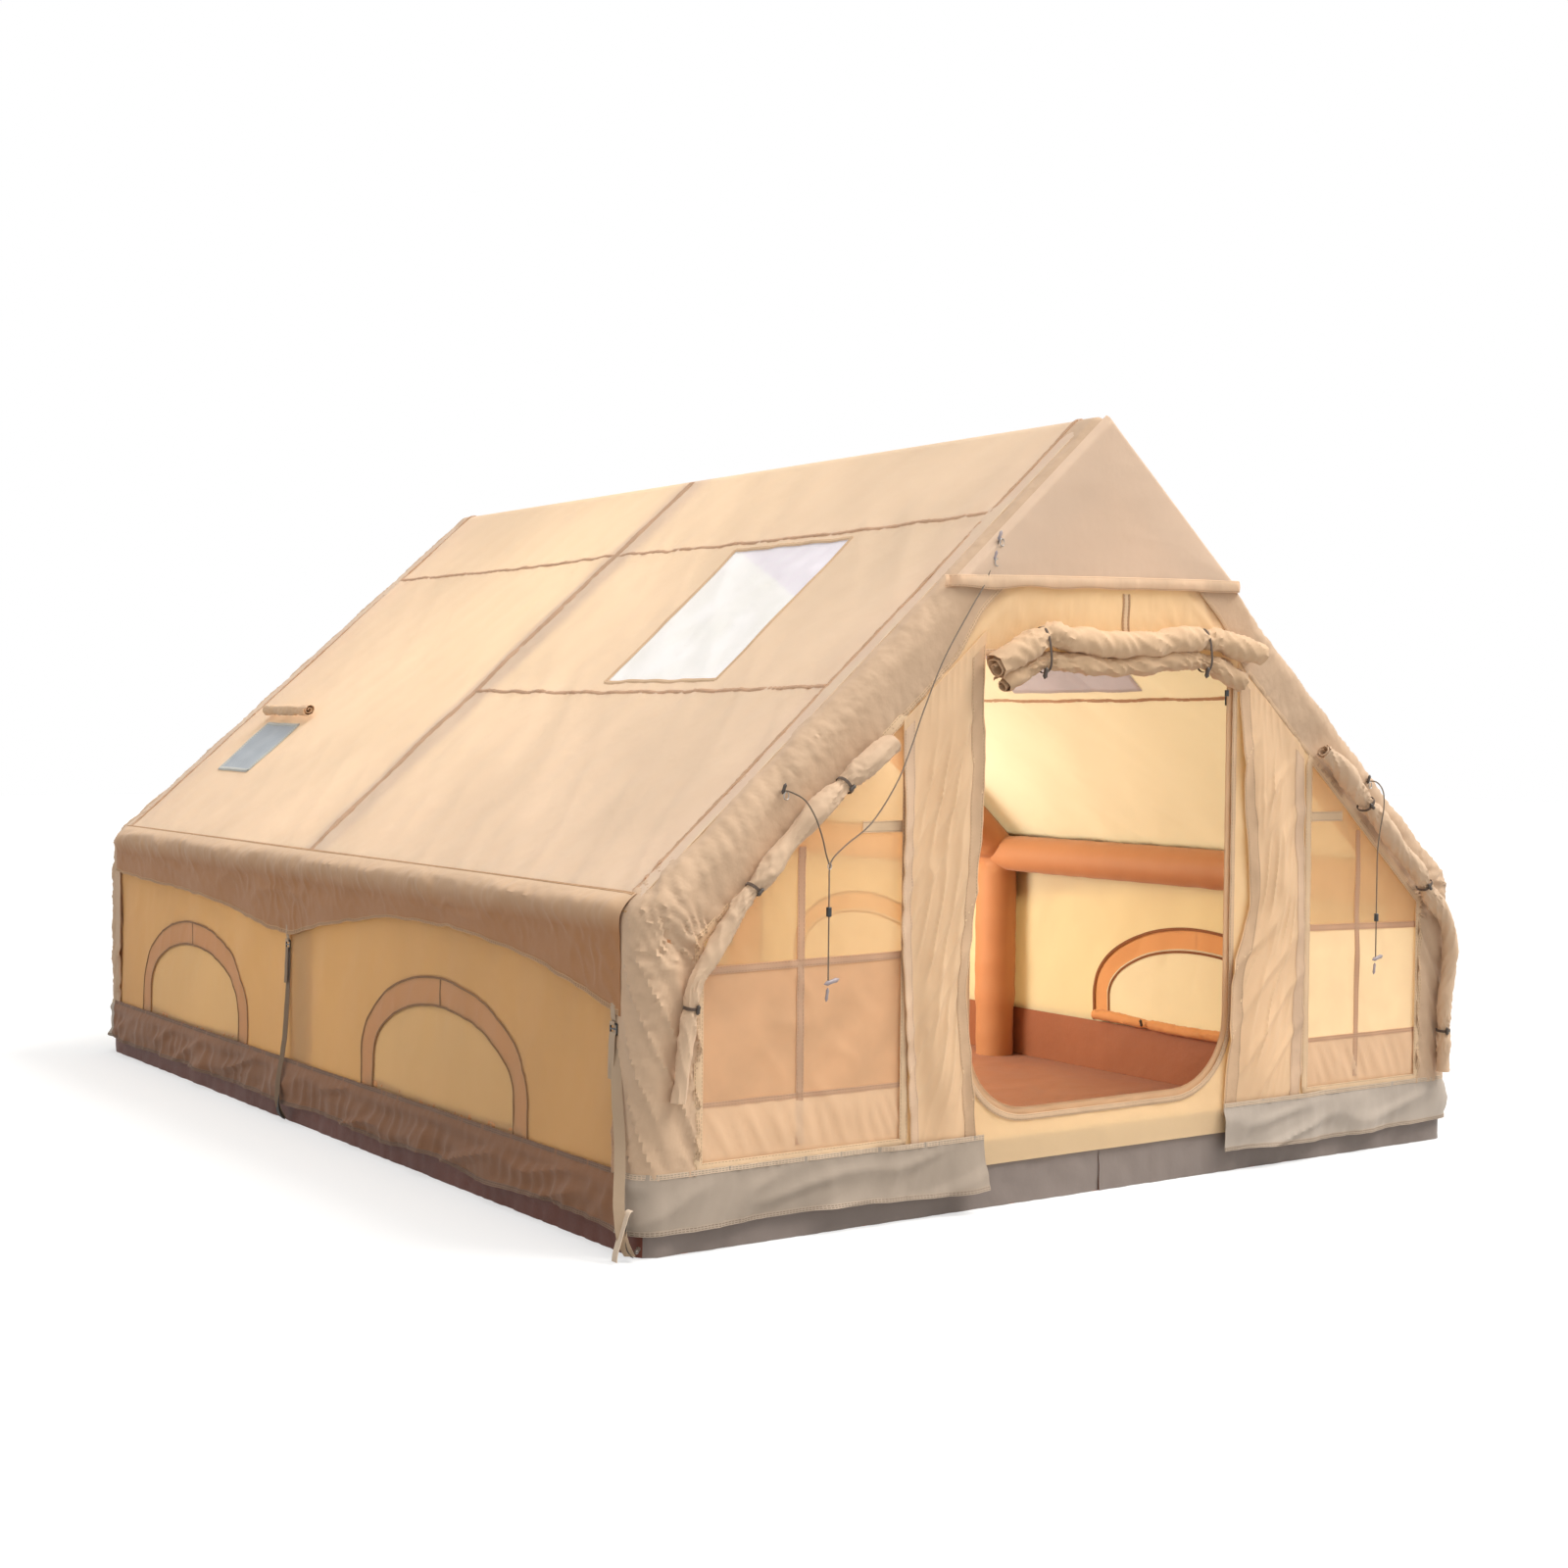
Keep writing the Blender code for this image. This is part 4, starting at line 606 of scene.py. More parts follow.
cloth_inset, tube_girth = 0.001, 0.5
for name, make, at, radius, seed, nodes in (
        ("front_arch_sleeve", arch_tube, front_arch, tube_radius, 11, ("front_arch_bladder",)),
        ("middle_arch_sleeve", arch_tube, mid_arch, tube_radius, 16, ("mid_arch_bladder", "frame_sleeve")),
        ("rear_arch_sleeve", arch_tube, rear_arch, tube_radius, 21, ("rear_arch_bladder",)),
        ("left_eave_sleeve", beam_tube, -1, beam_radius, 30,
         ("left_front_eave_bladder", "left_rear_eave_bladder")),
        ("right_eave_sleeve", beam_tube, 1, beam_radius, 32,
         ("right_front_eave_bladder", "right_rear_eave_bladder"))):
    tube = dress(make(name, at, radius - cloth_inset, seed), sleeve_cloth, nodes)
print("sleeves done")

# %% [markdown]
# ## The groundsheet
# A heavy sheet is turned up into a tub. Under its own weight it lies in shallow wrinkles that run in from
# the posts, and its walls crease where the skirt lets them show.

# %% Tub
tub_height, floor_level, floor_inset = 0.185, 0.003, 0.0065
corner_radius = 0.06
corner_arc = corner_radius * math.pi / 2
front_edge, side_edge = half_width - corner_radius, half_length - corner_radius
girth = 2 * math.pi * corner_radius + 4 * front_edge + 4 * side_edge


def footprint(a):
    """Place (x, y) and outward direction on the tent's footprint, a metres from the middle of the front."""
    ends = np.cumsum([0, front_edge, corner_arc, 2 * side_edge, corner_arc, 2 * front_edge, corner_arc,
                      2 * side_edge, corner_arc, front_edge])
    a = np.mod(a, ends[-1])
    runs = [np.clip(a, ends[i], ends[i + 1]) - ends[i] for i in (0, 2, 4, 6, 8)]
    turns = [np.clip((a - ends[i]) / corner_arc, 0, 1) * math.pi / 2 for i in (1, 3, 5, 7)]
    angle = sum(turns)
    x = -runs[0] + runs[2] - runs[4]
    x = x + corner_radius * (-np.sin(turns[0]) + (1 - np.cos(turns[1])) + np.sin(turns[2])
                             - (1 - np.cos(turns[3])))
    y = -side_edge - corner_radius + runs[1] - runs[3]
    y = y + corner_radius * ((1 - np.cos(turns[0])) + np.sin(turns[1]) - (1 - np.cos(turns[2]))
                             - np.sin(turns[3]))
    return x, y, -np.sin(angle), -np.cos(angle)


def tub_place(u, v):
    a = u * girth
    x, y, nx, ny = footprint(a)
    z = 0.0012 + (tub_height - 0.001) * v
    low = 1 - fade(v, 0.55, 1.0)
    out = -0.0045 - 0.004 * low * creases(z, a, 0.10, 41, lean=0.5) - 0.002 * np.abs(folds(a, z, 0.05, 42))
    return x + nx * out, y + ny * out, z


tub = loop_piece("tub_wall", tub_place, 700, 8, (girth, tub_height))
dress(tub, tub_cloth, ("groundsheet",))
# Faces that point to the sides take the copy in painted shade.
tub.data.materials.append(shaded_side_tub_cloth)
for face in tub.data.polygons:
    face.material_index = int(abs(face.normal.x) > 0.75)


def floor_place(u, v):
    x, y = (2 * u - 1) * (half_width - floor_inset), (2 * v - 1) * (half_length - floor_inset)
    over_x, over_y = np.maximum(np.abs(x) - front_edge, 0), np.maximum(np.abs(y) - side_edge, 0)
    reach = np.hypot(over_x, over_y)
    pull = np.where(reach > 0, np.minimum(1, (corner_radius - 0.0085) / np.maximum(reach, 1e-9)), 1)
    x, y = x - np.sign(x) * over_x * (1 - pull), y - np.sign(y) * over_y * (1 - pull)
    free = fade(np.minimum(half_width - np.abs(x), half_length - np.abs(y)), 0.01, 0.2)
    rise = 0.004 * creases(x, y, 0.55, 43, spread=1.2) + 0.003 * creases(x, y, 0.2, 44, spread=1.5)
    return x, y, floor_level * 0.6 + free * rise


floor_sheet = sheet_piece("tub_floor", floor_place, 110, 150, (2 * half_width, 2 * half_length), tape_thickness)
dress(floor_sheet, floor_cloth)


def lining_place(u, v):
    a = u * girth
    x, y, nx, ny = footprint(a)
    z = 0.003 + (tub_height - 0.001) * v
    out = -0.0115 - 0.003 * creases(z, a, 0.16, 45, lean=0.9, spread=0.5) * arc(v)
    return x + nx * out, y + ny * out, z


lining = dress(loop_piece("tub_lining", lining_place, 500, 6, (girth, tub_height)), floor_cloth)

# %% [markdown]
# ## The roof
# Each slope is stretched over the arches. Between them the cloth sinks a little, and it puckers along the
# sewn seams. One function places every point of a slope, so the seam tapes can use it too and lie exactly
# on the cloth.

# %% Roof cloth
upper_seam = (ridge_height - 1.88) / math.sin(pitch)
lower_seam = (ridge_height - 1.40) / math.sin(pitch)
roof_end = 1.93


def roof_point(side, y, s, lift=0.0):
    x, z, nx, nz = house_line(side * np.maximum(s, 1e-4))
    bay = np.where(y < mid_arch, (y - front_arch) / (mid_arch - front_arch),
                   (y - mid_arch) / (rear_arch - mid_arch))
    bay = arc(bay)
    span = arc(s / wall_start)
    dent = -0.016 * bay * span
    seam = hill(y, mid_arch, 0.05) * 0.0025 * creases(y, s, 0.06, 52, spread=0.2)
    seam = seam + hill(s, upper_seam, 0.04) * 0.003 * creases(s, y, 0.05, 53, spread=0.2)
    low = hill(s, lower_seam, 0.04) * 0.003 * creases(s, y, 0.05, 54, spread=0.2)
    seam = seam + low * (y < mid_arch)
    eave = hill(s, wall_start, 0.28) * 0.005 * creases(s, y, 0.09, 55 + int(side), spread=0.22)
    broad = 0.0022 * folds(s, y, 0.24, 57 + int(side), spread=0.5)
    tension = 0.0030 * creases(s, y, 0.35, 59 + int(side), lean=0.6, spread=0.25) * fade(s, 0.1, 0.5)
    ends = fade(roof_end - np.abs(y), 0.0, 0.08) * fade(s, 0.0, 0.05)
    out = dent + ends * (seam - eave * 0.6 + broad + tension) + lift
    return x + nx * out, y, z + nz * out


def skylight_rect(grow=0.0):
    low = ridge_arc + (0.83 - ridge_reach * math.cos(pitch)) / math.cos(pitch) + grow
    high = ridge_arc + (0.36 - ridge_reach * math.cos(pitch)) / math.cos(pitch) - grow
    return -1.27 - grow, -0.66 + grow, high, low


def cut_away(piece, cutter):
    apply(piece, "BOOLEAN", object=cutter, operation="DIFFERENCE", solver="EXACT")
    bpy.data.objects.remove(cutter, do_unlink=True)
    smooth(piece)


for side, name in sides:
    def place(u, v):
        return roof_point(side, (2 * u - 1) * roof_end, v * (wall_start - 0.01))

    slope = sheet_piece(f"{name}_roof_cloth", place, 220, 110, (2 * roof_end, wall_start))
    y0, y1, high, low = skylight_rect()
    x, z, _, _ = house_line(np.array([side * (high + low) / 2]))
    cutter = added(bpy.ops.mesh.primitive_cube_add, size=1, location=(x[0], (y0 + y1) / 2, z[0]),
                   rotation=(0, side * pitch, 0))
    cutter.scale = (low - high, y1 - y0, 0.2)
    cut_away(slope, cutter)
    dress(slope, roof_cloth, (f"roof_{name}_slope",))
    glow_inside(slope, roof_inside_glow)

# %% Roof seams and panes
def roof_strip(name, side, start, end, width, lift, material, columns):
    """A tape on the roof from (y, s) to (y, s)."""
    (y0, s0), (y1, s1) = start, end
    length = math.hypot(y1 - y0, s1 - s0)
    across_y, across_s = -(s1 - s0) / length, (y1 - y0) / length

    def place(u, v):
        off = (v - 0.5) * width
        y = y0 + (y1 - y0) * u + across_y * off
        s = s0 + (s1 - s0) * u + across_s * off
        rise = lift * arc(v) ** 0.5 * 0.6 + lift * 0.4
        return roof_point(side, y, s, rise)

    return dress(strip_piece(name, place, columns, width, length), material)


for side, name in sides:
    edge, middle = roof_end - 0.06, mid_arch + 0.01
    for under, sign in (("", 1), ("_inside", -1)):
        for label, start, end, width, lift, columns in (
                ("mid", (middle, 0.02), (middle, wall_start - 0.03), 0.034, 0.0028, 150),
                ("upper", (-edge, upper_seam), (edge, upper_seam), 0.014, 0.0024, 300),
                ("lower", (-edge, lower_seam), (mid_arch, lower_seam), 0.014, 0.0024, 200)):
            roof_strip(f"{name}_{label}_seam{under}", side, start, end, width, lift * sign, seam_tape, columns)
    y0, y1, high, low = skylight_rect(0.012)

    def pane_place(u, v):
        y, s = y0 + (y1 - y0) * u, high + (low - high) * v
        bubble = 0.002 * folds(s, y, 0.2, 63 + side) + 0.0015 * creases(s, y, 0.12, 65, spread=1.0)
        return roof_point(side, y, s, -0.0024 + bubble * arc(u) * arc(v))

    pane = sheet_piece(f"{name}_roof_pane", pane_place, 60, 60, (y1 - y0, low - high), 0.0008)
    dress(pane, roof_film, (f"{name}_skylight",))
    pane.data.materials.append(painted_sky_film)
    pane.data.materials.append(shaded_inner_film)
    # Inward faces take the film in painted shade, and a triangle of the top takes the painted sky.
    for face in pane.data.polygons:
        down = (math.hypot(face.center.x, ridge_height - face.center.z) - high) / (low - high)
        forward = (y1 - face.center.y) / (y1 - y0)
        face.material_index = 2 if face.normal.z < 0 else int(down < 0.44 * forward)
    y0, y1, high, low = skylight_rect(0.006)
    corners = (((y0, high), (y1, high)), ((y0, low), (y1, low)),
               ((y0, high), (y0, low)), ((y1, high), (y1, low)))
    for number, (start, end) in enumerate(corners):
        roof_strip(f"{name}_pane_edge_{number}", side, start, end, 0.016, 0.0022, hem_tape, 40)
print("roof done")

# %% [markdown]
# ## The arch covers
# A cover is sewn from the roof seam, over the front arch and down to the window line. Round a tube the
# cloth is longer outside than inside, so the spare length gathers into puckers along the crease. They are
# the most visible wrinkles of the tent.

# %% Arch covers
cover_seam, cover_radius, cover_depth = 1.87, 0.062, 0.165
cover_flat = half_length - cover_radius - cover_seam
cover_bend = cover_radius * math.pi / 2
cover_width = cover_flat + cover_bend + cover_depth - cover_radius
cover_foot = wall_foot - 0.19


def flatter(end, run):
    """Share of the bend that is left: the front cover lies flatter where the gable cloth holds it."""
    return 0.35 + 0.65 * fade(run, 0.68, 0.88) if end < 0 else 1.0


def cover_point(end, s, t, lift=0.0):
    """A point of an arch cover, t metres from its roof seam. end is -1 at the door and 1 at the rear."""
    bend = np.clip((t - cover_flat) / cover_bend, 0, 1) * math.pi / 2
    down = np.maximum(t - cover_flat - cover_bend, 0)
    deep = -cover_radius * flatter(end, np.abs(s)) * (1 - np.cos(bend)) - down
    y = cover_seam + np.clip(t, 0, cover_flat) + cover_radius * np.sin(bend)
    x0, z0, nx, nz = house_line(s)
    _, _, wx, wz = wide_frame(s)
    share = fade(-deep, 0.0, 0.08)
    nx, nz = nx + (wx - nx) * share, nz + (wz - nz) * share
    run = np.abs(s)
    seed = 71 + int(end)
    crest = hill(t, cover_flat + cover_bend * 0.6, 0.055)
    inner = hill(t, cover_width, 0.05)
    seam = hill(t, 0, 0.03)
    eave = hill(run, eave_middle, 0.16)
    post = fade(run, wall_start, wall_start + 0.1)
    puckers = creases(t, s, 0.055, seed, lean=0.5, spread=0.35)
    small = creases(t, s, 0.028, seed + 2, lean=-0.3, spread=0.4)
    long_folds = folds(t, s, 0.16, seed + 4, lean=0.7, spread=0.3)
    out = crest * (0.0045 * puckers + 0.002 * small) + inner * 0.004 * puckers + seam * 0.0025 * small
    out = out + 0.0028 * long_folds * fade(t, 0.02, 0.08)
    out = out + eave * (0.009 * creases(t, s, 0.07, seed + 6, lean=0.9, spread=0.3) - 0.002)
    out = out + post * 0.0085 * creases(s, t, 0.075, seed + 8, lean=0.42, spread=0.12) - 0.004
    out = out + post * 0.0015 * creases(s, t, 0.035, seed + 9, lean=0.5, spread=0.2)
    ends = fade(cover_foot - run, 0.0, 0.05) * 0.7 + 0.3
    behind = fade(run, slope_end - 0.03, slope_end) * (1 - fade(run, wall_start + 0.36, wall_start + 0.42))
    ends = ends * (1 - 0.85 * behind * (1 - fade(t, 0.035, 0.075)))
    held = (1 - fade(run, 0.68, 0.88)) * (end < 0) * fade(t, cover_flat + 0.012, cover_flat + 0.03)
    out = out * ends * (0.2 + 0.8 * fade(run, 0.02, 0.16)) * (1 - 0.85 * held) - 0.005 * held + lift
    deep = deep + out * np.cos(bend)
    y = y + out * np.sin(bend)
    return x0 + nx * deep, end * y, z0 + nz * deep


for end, name in ((-1, "front"), (1, "rear")):
    def place(u, v):
        return cover_point(end, (2 * u - 1) * cover_foot, v * cover_width, 0.002)

    cover = sheet_piece(f"{name}_arch_cover", place, 560, 30, (2 * cover_foot, cover_width))
    dress(cover, band_cloth, (f"{name}_band",))
    for label, t, width, tape in (("seam", 0.006, 0.012, seam_tape),
                                  ("hem", cover_width - 0.006, 0.013, hem_tape)):
        def line(u, v):
            s = (2 * u - 1) * cover_foot
            run = np.abs(s)
            low = fade(run, slope_end - 0.03, slope_end) * 0.006
            low = low * (1 - fade(run, wall_start + 0.36, wall_start + 0.42))
            low = low - 0.002 * (1 - fade(run, slope_end - 0.12, slope_end - 0.04))
            lift = 0.0028 - low * (label == "seam") + 0.001 * arc(v)
            return cover_point(end, s, t + (v - 0.5) * width, lift)

        dress(strip_piece(f"{name}_cover_{label}", line, 520, width, 2 * cover_foot), tape)

# %% [markdown]
# ## The gable cloth
# A triangle of roof cloth hangs over the door wall. It is sewn to the arch cover along both slopes and ends
# in a wide stitched hem. A narrow tape and a few short folds show under it.

# %% Gable cloth
gable_left, gable_right = 1.668, 1.700


def gable_hem(x):
    return gable_left + (gable_right - gable_left) * (x + 0.58) / 1.15 + 0.004 * np.cos(x * 2.4)


def gable_point(x, v):
    low = gable_hem(x)
    edge = roof_height(x, 0.005)
    z = low + (edge - low) * v
    free = arc(v) * fade(0.62 - np.abs(x), 0, 0.2)
    high = cover_radius * 0.35
    depth = np.clip((ridge_height - z) * math.cos(pitch) - np.abs(x) * math.sin(pitch), 0.005, high)
    lean = cover_radius * (1 - np.sin(np.arccos(1 - depth / high)))
    out = 0.003 * free * folds(x, z, 0.6, 91, lean=0.5) + 0.0006 * creases(x, z, 0.3, 92, lean=0.8)
    gather = 0.0012 * creases(z, x, 0.09, 93, spread=0.2) * hill(v, 0, 0.12)
    return x, lean - (half_length + 0.004 + 0.004 * free + out * fade(v, 0, 0.1) + gather), z


def gable_place(u, v):
    half = (2 * u - 1) * 0.575
    reach = (ridge_height - 0.0066 - gable_hem(half)) / math.tan(pitch)
    return gable_point(np.sign(half) * np.minimum(np.abs(half), np.abs(reach)), v)


gable = sheet_piece("gable_cloth", gable_place, 110, 60, (1.15, 0.5))
dress(gable, roof_cloth, ("gable_flap",))
hem_width = 0.034


def gable_hem_place(u, v):
    x = -0.572 + 1.090 * u
    _, y, z = gable_point(x, v * 0)
    wavy = 0.004 * folds(u * 0, x, 0.25, 94) * (1 - v)
    roll = 0.0035 + 0.0045 * arc(v) ** 0.6 + 0.002 * folds(u * 0, x, 0.11, 90) * (1 - v)
    return x, y - roll, z - 0.008 + hem_width * v + wavy


hem = strip_piece("gable_hem", gable_hem_place, 170, hem_width, 1.13, 10)
dress(hem, gable_tape)
print("gable hem from", round(float(gable_hem(-0.56)), 3), "to", round(float(gable_hem(0.56)), 3))

# %% [markdown]
# ## The door wall
# One sheet fills the arch. The door and both mesh windows are cut out of it, and every cut edge is bound.
# The cloth is thin, so it glows where light falls on its back.

# %% Door wall
def rounded_outline(left, right, low, high, low_radius, high_radius, steps=10):
    """A rectangle with rounded corners, as (x, z) points in order."""
    points = []
    for cx, cz, radius, start in ((right - low_radius, low + low_radius, low_radius, -90),
                                  (right - high_radius, high - high_radius, high_radius, 0),
                                  (left + high_radius, high - high_radius, high_radius, 90),
                                  (left + low_radius, low + low_radius, low_radius, 180)):
        for i in range(steps + 1):
            turn = math.radians(start + 90 * i / steps)
            points.append((cx + radius * math.cos(turn), cz + radius * math.sin(turn)))
    return points


def resample(points, count):
    """Even points along a closed outline."""
    return even_points(np.array(points + points[:1], float), count)


def cut_prism(piece, outline, axis, reach):
    """Cuts an outline out of a sheet. axis is the direction across the sheet: x or y."""
    cutter = added(bpy.ops.mesh.primitive_circle_add, vertices=len(outline), fill_type="NGON")
    for vertex, (a, b) in zip(cutter.data.vertices, outline):
        vertex.co = (a, reach[0], b) if axis == "y" else (reach[0], a, b)
    bpy.ops.object.mode_set(mode="EDIT")
    bpy.ops.mesh.select_all(action="SELECT")
    shift = (0, reach[1] - reach[0], 0) if axis == "y" else (reach[1] - reach[0], 0, 0)
    bpy.ops.mesh.extrude_region_move(TRANSFORM_OT_translate={"value": shift})
    bpy.ops.mesh.select_all(action="SELECT")
    bpy.ops.mesh.normals_make_consistent(inside=False)
    bpy.ops.object.mode_set(mode="OBJECT")
    cut_away(piece, cutter)


wall_line = -(half_length - 0.0035)
door_top = 1.488
door_outline = rounded_outline(-0.50, 0.50, 0.24, door_top, 0.22, 0.05)
window_foot, window_sill = 0.215, 0.36


def window_outline(side):
    inner, outer = (0.71, 1.33) if side < 0 else (0.835, 1.33)
    points = [(inner, window_foot), (outer, window_foot), (outer, roof_height(outer, 0.17)),
              (inner, roof_height(inner, 0.17))]
    return [(side * x, float(z)) for x, z in points]


def hidden(x, z, under_slope, beside_post):
    """How far an end wall steps back behind the arch cover."""
    depth = (ridge_height - z) * math.cos(pitch) - np.abs(x) * math.sin(pitch)
    beside = beside_post * (1 - fade(half_width - np.abs(x), 0.15, 0.168))
    return under_slope * (1 - fade(depth, 0.145, 0.168)) + beside


def wall_grid(u, v, low):
    """Place (x, z) on an end wall, from its foot up to the arch."""
    x = (2 * u - 1) * 1.42
    return x, low + (roof_height(x, 0.07) - low) * v


def wall_place(u, v):
    x, z = wall_grid(u, v, 0.118)
    free = fade(np.abs(x), 0.35, 0.5) * 0.4 + 0.6
    out = 0.0022 * folds(x, z, 0.3, 95, lean=0.6) + 0.003 * creases(x, z, 0.25, 96, lean=0.9, spread=0.6) * free
    out = out + 0.005 * creases(z - 1.6, x - 0.064, 0.06, 94, lean=0.5, spread=0.5) * hill(z, 1.56, 0.07)
    gather = 0.004 * creases(z, x, 0.06, 97, spread=0.2) * hill(z, 1.62, 0.05)
    low_edge = 0.0035 * fade(0.24 - z, 0.0, 0.06)
    return x, wall_line - out * 0.6 - gather - low_edge + hidden(x, z, 0.007, 0.007), z


wall = sheet_piece("door_wall", wall_place, 230, 120, (2.84, 2.0))
for outline in (door_outline, window_outline(-1), window_outline(1)):
    cut_prism(wall, outline, "y", (-2.1, -1.9))
dress(wall, end_cloth, ("front_wall",))
glow_inside(wall, wall_inside_glow)


def rear_place(u, v):
    x, z = wall_grid(u, v, 0.16)
    out = 0.003 * folds(x, z, 0.3, 98, lean=0.6) + 0.003 * creases(x, z, 0.25, 99, lean=0.9, spread=0.6)
    return x, -wall_line + out * 0.5 - 0.001 - hidden(x, z, 0.008, 0.007), z


rear_sheet = sheet_piece("rear_wall_cloth", rear_place, 110, 80, (2.84, 2.0))
dress(rear_sheet, end_cloth, ("rear_wall",))
glow_inside(rear_sheet, wall_inside_glow)


def edge_tape(name, outline, offset, width, y, material, columns):
    """A tape that follows a closed outline on an upright wall across the tent."""
    ring, length = resample(outline, columns + 1)
    tangent = np.roll(ring[:-1], -1, axis=0) - np.roll(ring[:-1], 1, axis=0)
    tangent = np.vstack((tangent, tangent[:1]))
    tangent /= np.linalg.norm(tangent, axis=1)[:, None]
    normal = np.column_stack((tangent[:, 1], -tangent[:, 0]))

    def place(u, v):
        i = number_at(u, columns)
        off = offset + (v - 0.5) * width
        wrinkle = 0.0012 * creases(v * width, u * length, 0.04, 101, spread=0.2)
        return (ring[i, 0] + normal[i, 0] * off, y - 0.0015 * arc(v) ** 0.5 - wrinkle,
                ring[i, 1] + normal[i, 1] * off)

    piece = strip_piece(name, place, columns, width, length)
    apply(piece, "WELD", merge_threshold=weld_reach)
    dress(piece, material)


edge_tape("door_binding", door_outline, 0.006, 0.018, -1.9992, hem_tape, 300)
for label, offset, wide, tape in (("strip", 0.0, 0.020, pale_tape), ("left_line", -0.011, 0.006, dark_tape),
                                  ("right_line", 0.011, 0.006, dark_tape)):
    def header_place(u, v):
        x = 0.066 + offset + (v - 0.5) * wide + 0.002 * np.sin(9 * u)
        raised = 0.0012 if wide < 0.01 else 0
        return x, -2.0005 - 0.0030 * (1 - u) - raised - 0.0008 * arc(v), 1.50 + 0.17 * u

    dress(strip_piece(f"header_{label}", header_place, 30, wide, 0.17), tape)
for side, name in sides:
    edge_tape(f"{name}_window_binding", window_outline(side), side * 0.008, 0.026, -2.0002, pale_tape, 240)
print("door wall done")

# %% [markdown]
# ## Mesh windows
# A veil of insect mesh fills each window, with a panel of cloth along its foot. Webbing tapes cross it, and
# the mesh hangs in very soft waves between them.

# %% Mesh windows
mesh_edges = {-1: (0.70, 1.34), 1: (0.825, 1.34)}
upright_place = {-1: (1.03 - 0.70) / 0.64, 1: (1.06 - 0.825) / 0.515}


def veil_x(side, share):
    inner, outer = mesh_edges[side]
    return inner + (outer - inner) * share


def veil_point(side, share, z, lift=0.0):
    x = side * veil_x(side, share)
    free = arc(share) * fade(z, window_foot, window_foot + 0.1)
    wave = 0.006 * folds(z, x, 0.26, 111 + side) + 0.004 * creases(z, x, 0.3, 113 + side, lean=0.5)
    return x, -(half_length - 0.0075 + wave * free * 0.7 + lift), z


for side, name in sides:
    for label, top, rows, lift, finish, size, length, nodes in (
            ("mesh_window", ridge_height, 70, 0.0, mesh_veil, 0.85, 1.2, (f"front_{name}_mesh",)),
            ("lower_mesh", 0.695, 34, 0.0008, lower_veil if side < 0 else bright_veil, 0.34, 0.38, ())):
        def veil_place(u, v):
            high = np.minimum(top, roof_height(veil_x(side, u), 0.16))
            return veil_point(side, u, window_sill + (high - window_sill) * v, lift)

        veil = sheet_piece(f"{name}_{label}", veil_place, 60, rows, (0.64, size), film_thickness)
        dress(veil, finish, nodes)

    def kick_place(u, v):
        x, y, z = veil_point(side, u, window_foot - 0.012 + (window_sill - window_foot + 0.012) * v, 0.001)
        return x, y - 0.004 * creases(z, x, 0.08, 117, lean=0.3, spread=0.2) * arc(v), z

    kick = sheet_piece(f"{name}_window_foot", kick_place, 60, 16, (0.64, 0.15))
    dress(kick, kick_cloth)
    middle = upright_place[side]
    for label, (a0, z0), (a1, z1), width in (
            ("sill", (0.0, window_sill), (1.0, window_sill), 0.014),
            ("upright", (middle, window_foot + 0.02), (middle, float(roof_height(1.03, 0.2))), 0.022),
            ("upper", (0.0, 1.035), (0.22 if side < 0 else 0.30, 1.035), 0.030),
            ("middle", (0.0, 0.700), (1.0, 0.690), 0.020)):
        def tape_place(u, v):
            off = (v - 0.5) * width
            over, up = (off / 0.6, 0) if a0 == a1 else (0, off)
            return veil_point(side, a0 + (a1 - a0) * u + over, z0 + (z1 - z0) * u + up, 0.0022)

        tape = strip_piece(f"{name}_mesh_tape_{label}", tape_place, 90, width, 0.7)
        dress(tape, seam_tape if width < 0.025 else pale_tape)
print("mesh windows done")

# %% [markdown]
# ## Toggles
# Ties and curtains are held by small plastic toggles. Each is turned from a cylinder: round ends and a
# waist for its loop.

# %% Toggle maker
def toggle_piece(name, centre, along, length=0.030, radius=0.0065, body="tent", finish=toggle_plastic):
    """A small plastic toggle with a waist for its loop."""
    piece = added(bpy.ops.mesh.primitive_cylinder_add, vertices=20, radius=1, depth=2)
    piece.name = name
    bpy.ops.object.mode_set(mode="EDIT")
    bpy.ops.mesh.select_all(action="SELECT")
    bpy.ops.mesh.subdivide(number_cuts=4)
    bpy.ops.object.mode_set(mode="OBJECT")
    points = points_of(piece)
    share = points[:, 2]
    waist = 0.72 + 0.28 * np.minimum(np.abs(share) * 2.2, 1)
    shape = np.sqrt(np.clip(1.02 - np.abs(share) ** 6, 0, 1)) * waist
    across = np.hypot(points[:, 0], points[:, 1])
    unit = points[:, :2] / np.maximum(across, 1e-9)[:, None]
    points = np.column_stack((unit * np.minimum(across, 1.0)[:, None] * (shape * radius)[:, None],
                              share * length / 2))
    turn = np.array(Vector(along).normalized().to_track_quat("Z", "Y").to_matrix())
    set_points(piece, points @ turn.T + np.array(centre))
    smooth(piece, 50)
    dress(piece, finish, (), body)


# %% [markdown]
# ## Side walls and their windows
# Each side wall hangs from the eave and is sewn to the tub. Two arched windows are set in it: a wide band
# round a thin cover cloth. The arch is drawn once and used for the opening, the band and its bindings.

# %% Side walls
window_half, window_rise, window_base, window_shoulder, window_band = 0.53, 0.385, 0.19, 0.10, 0.085
window_centres = {"front": -0.892, "rear": 1.088}
cloth_line = half_width - 0.0035


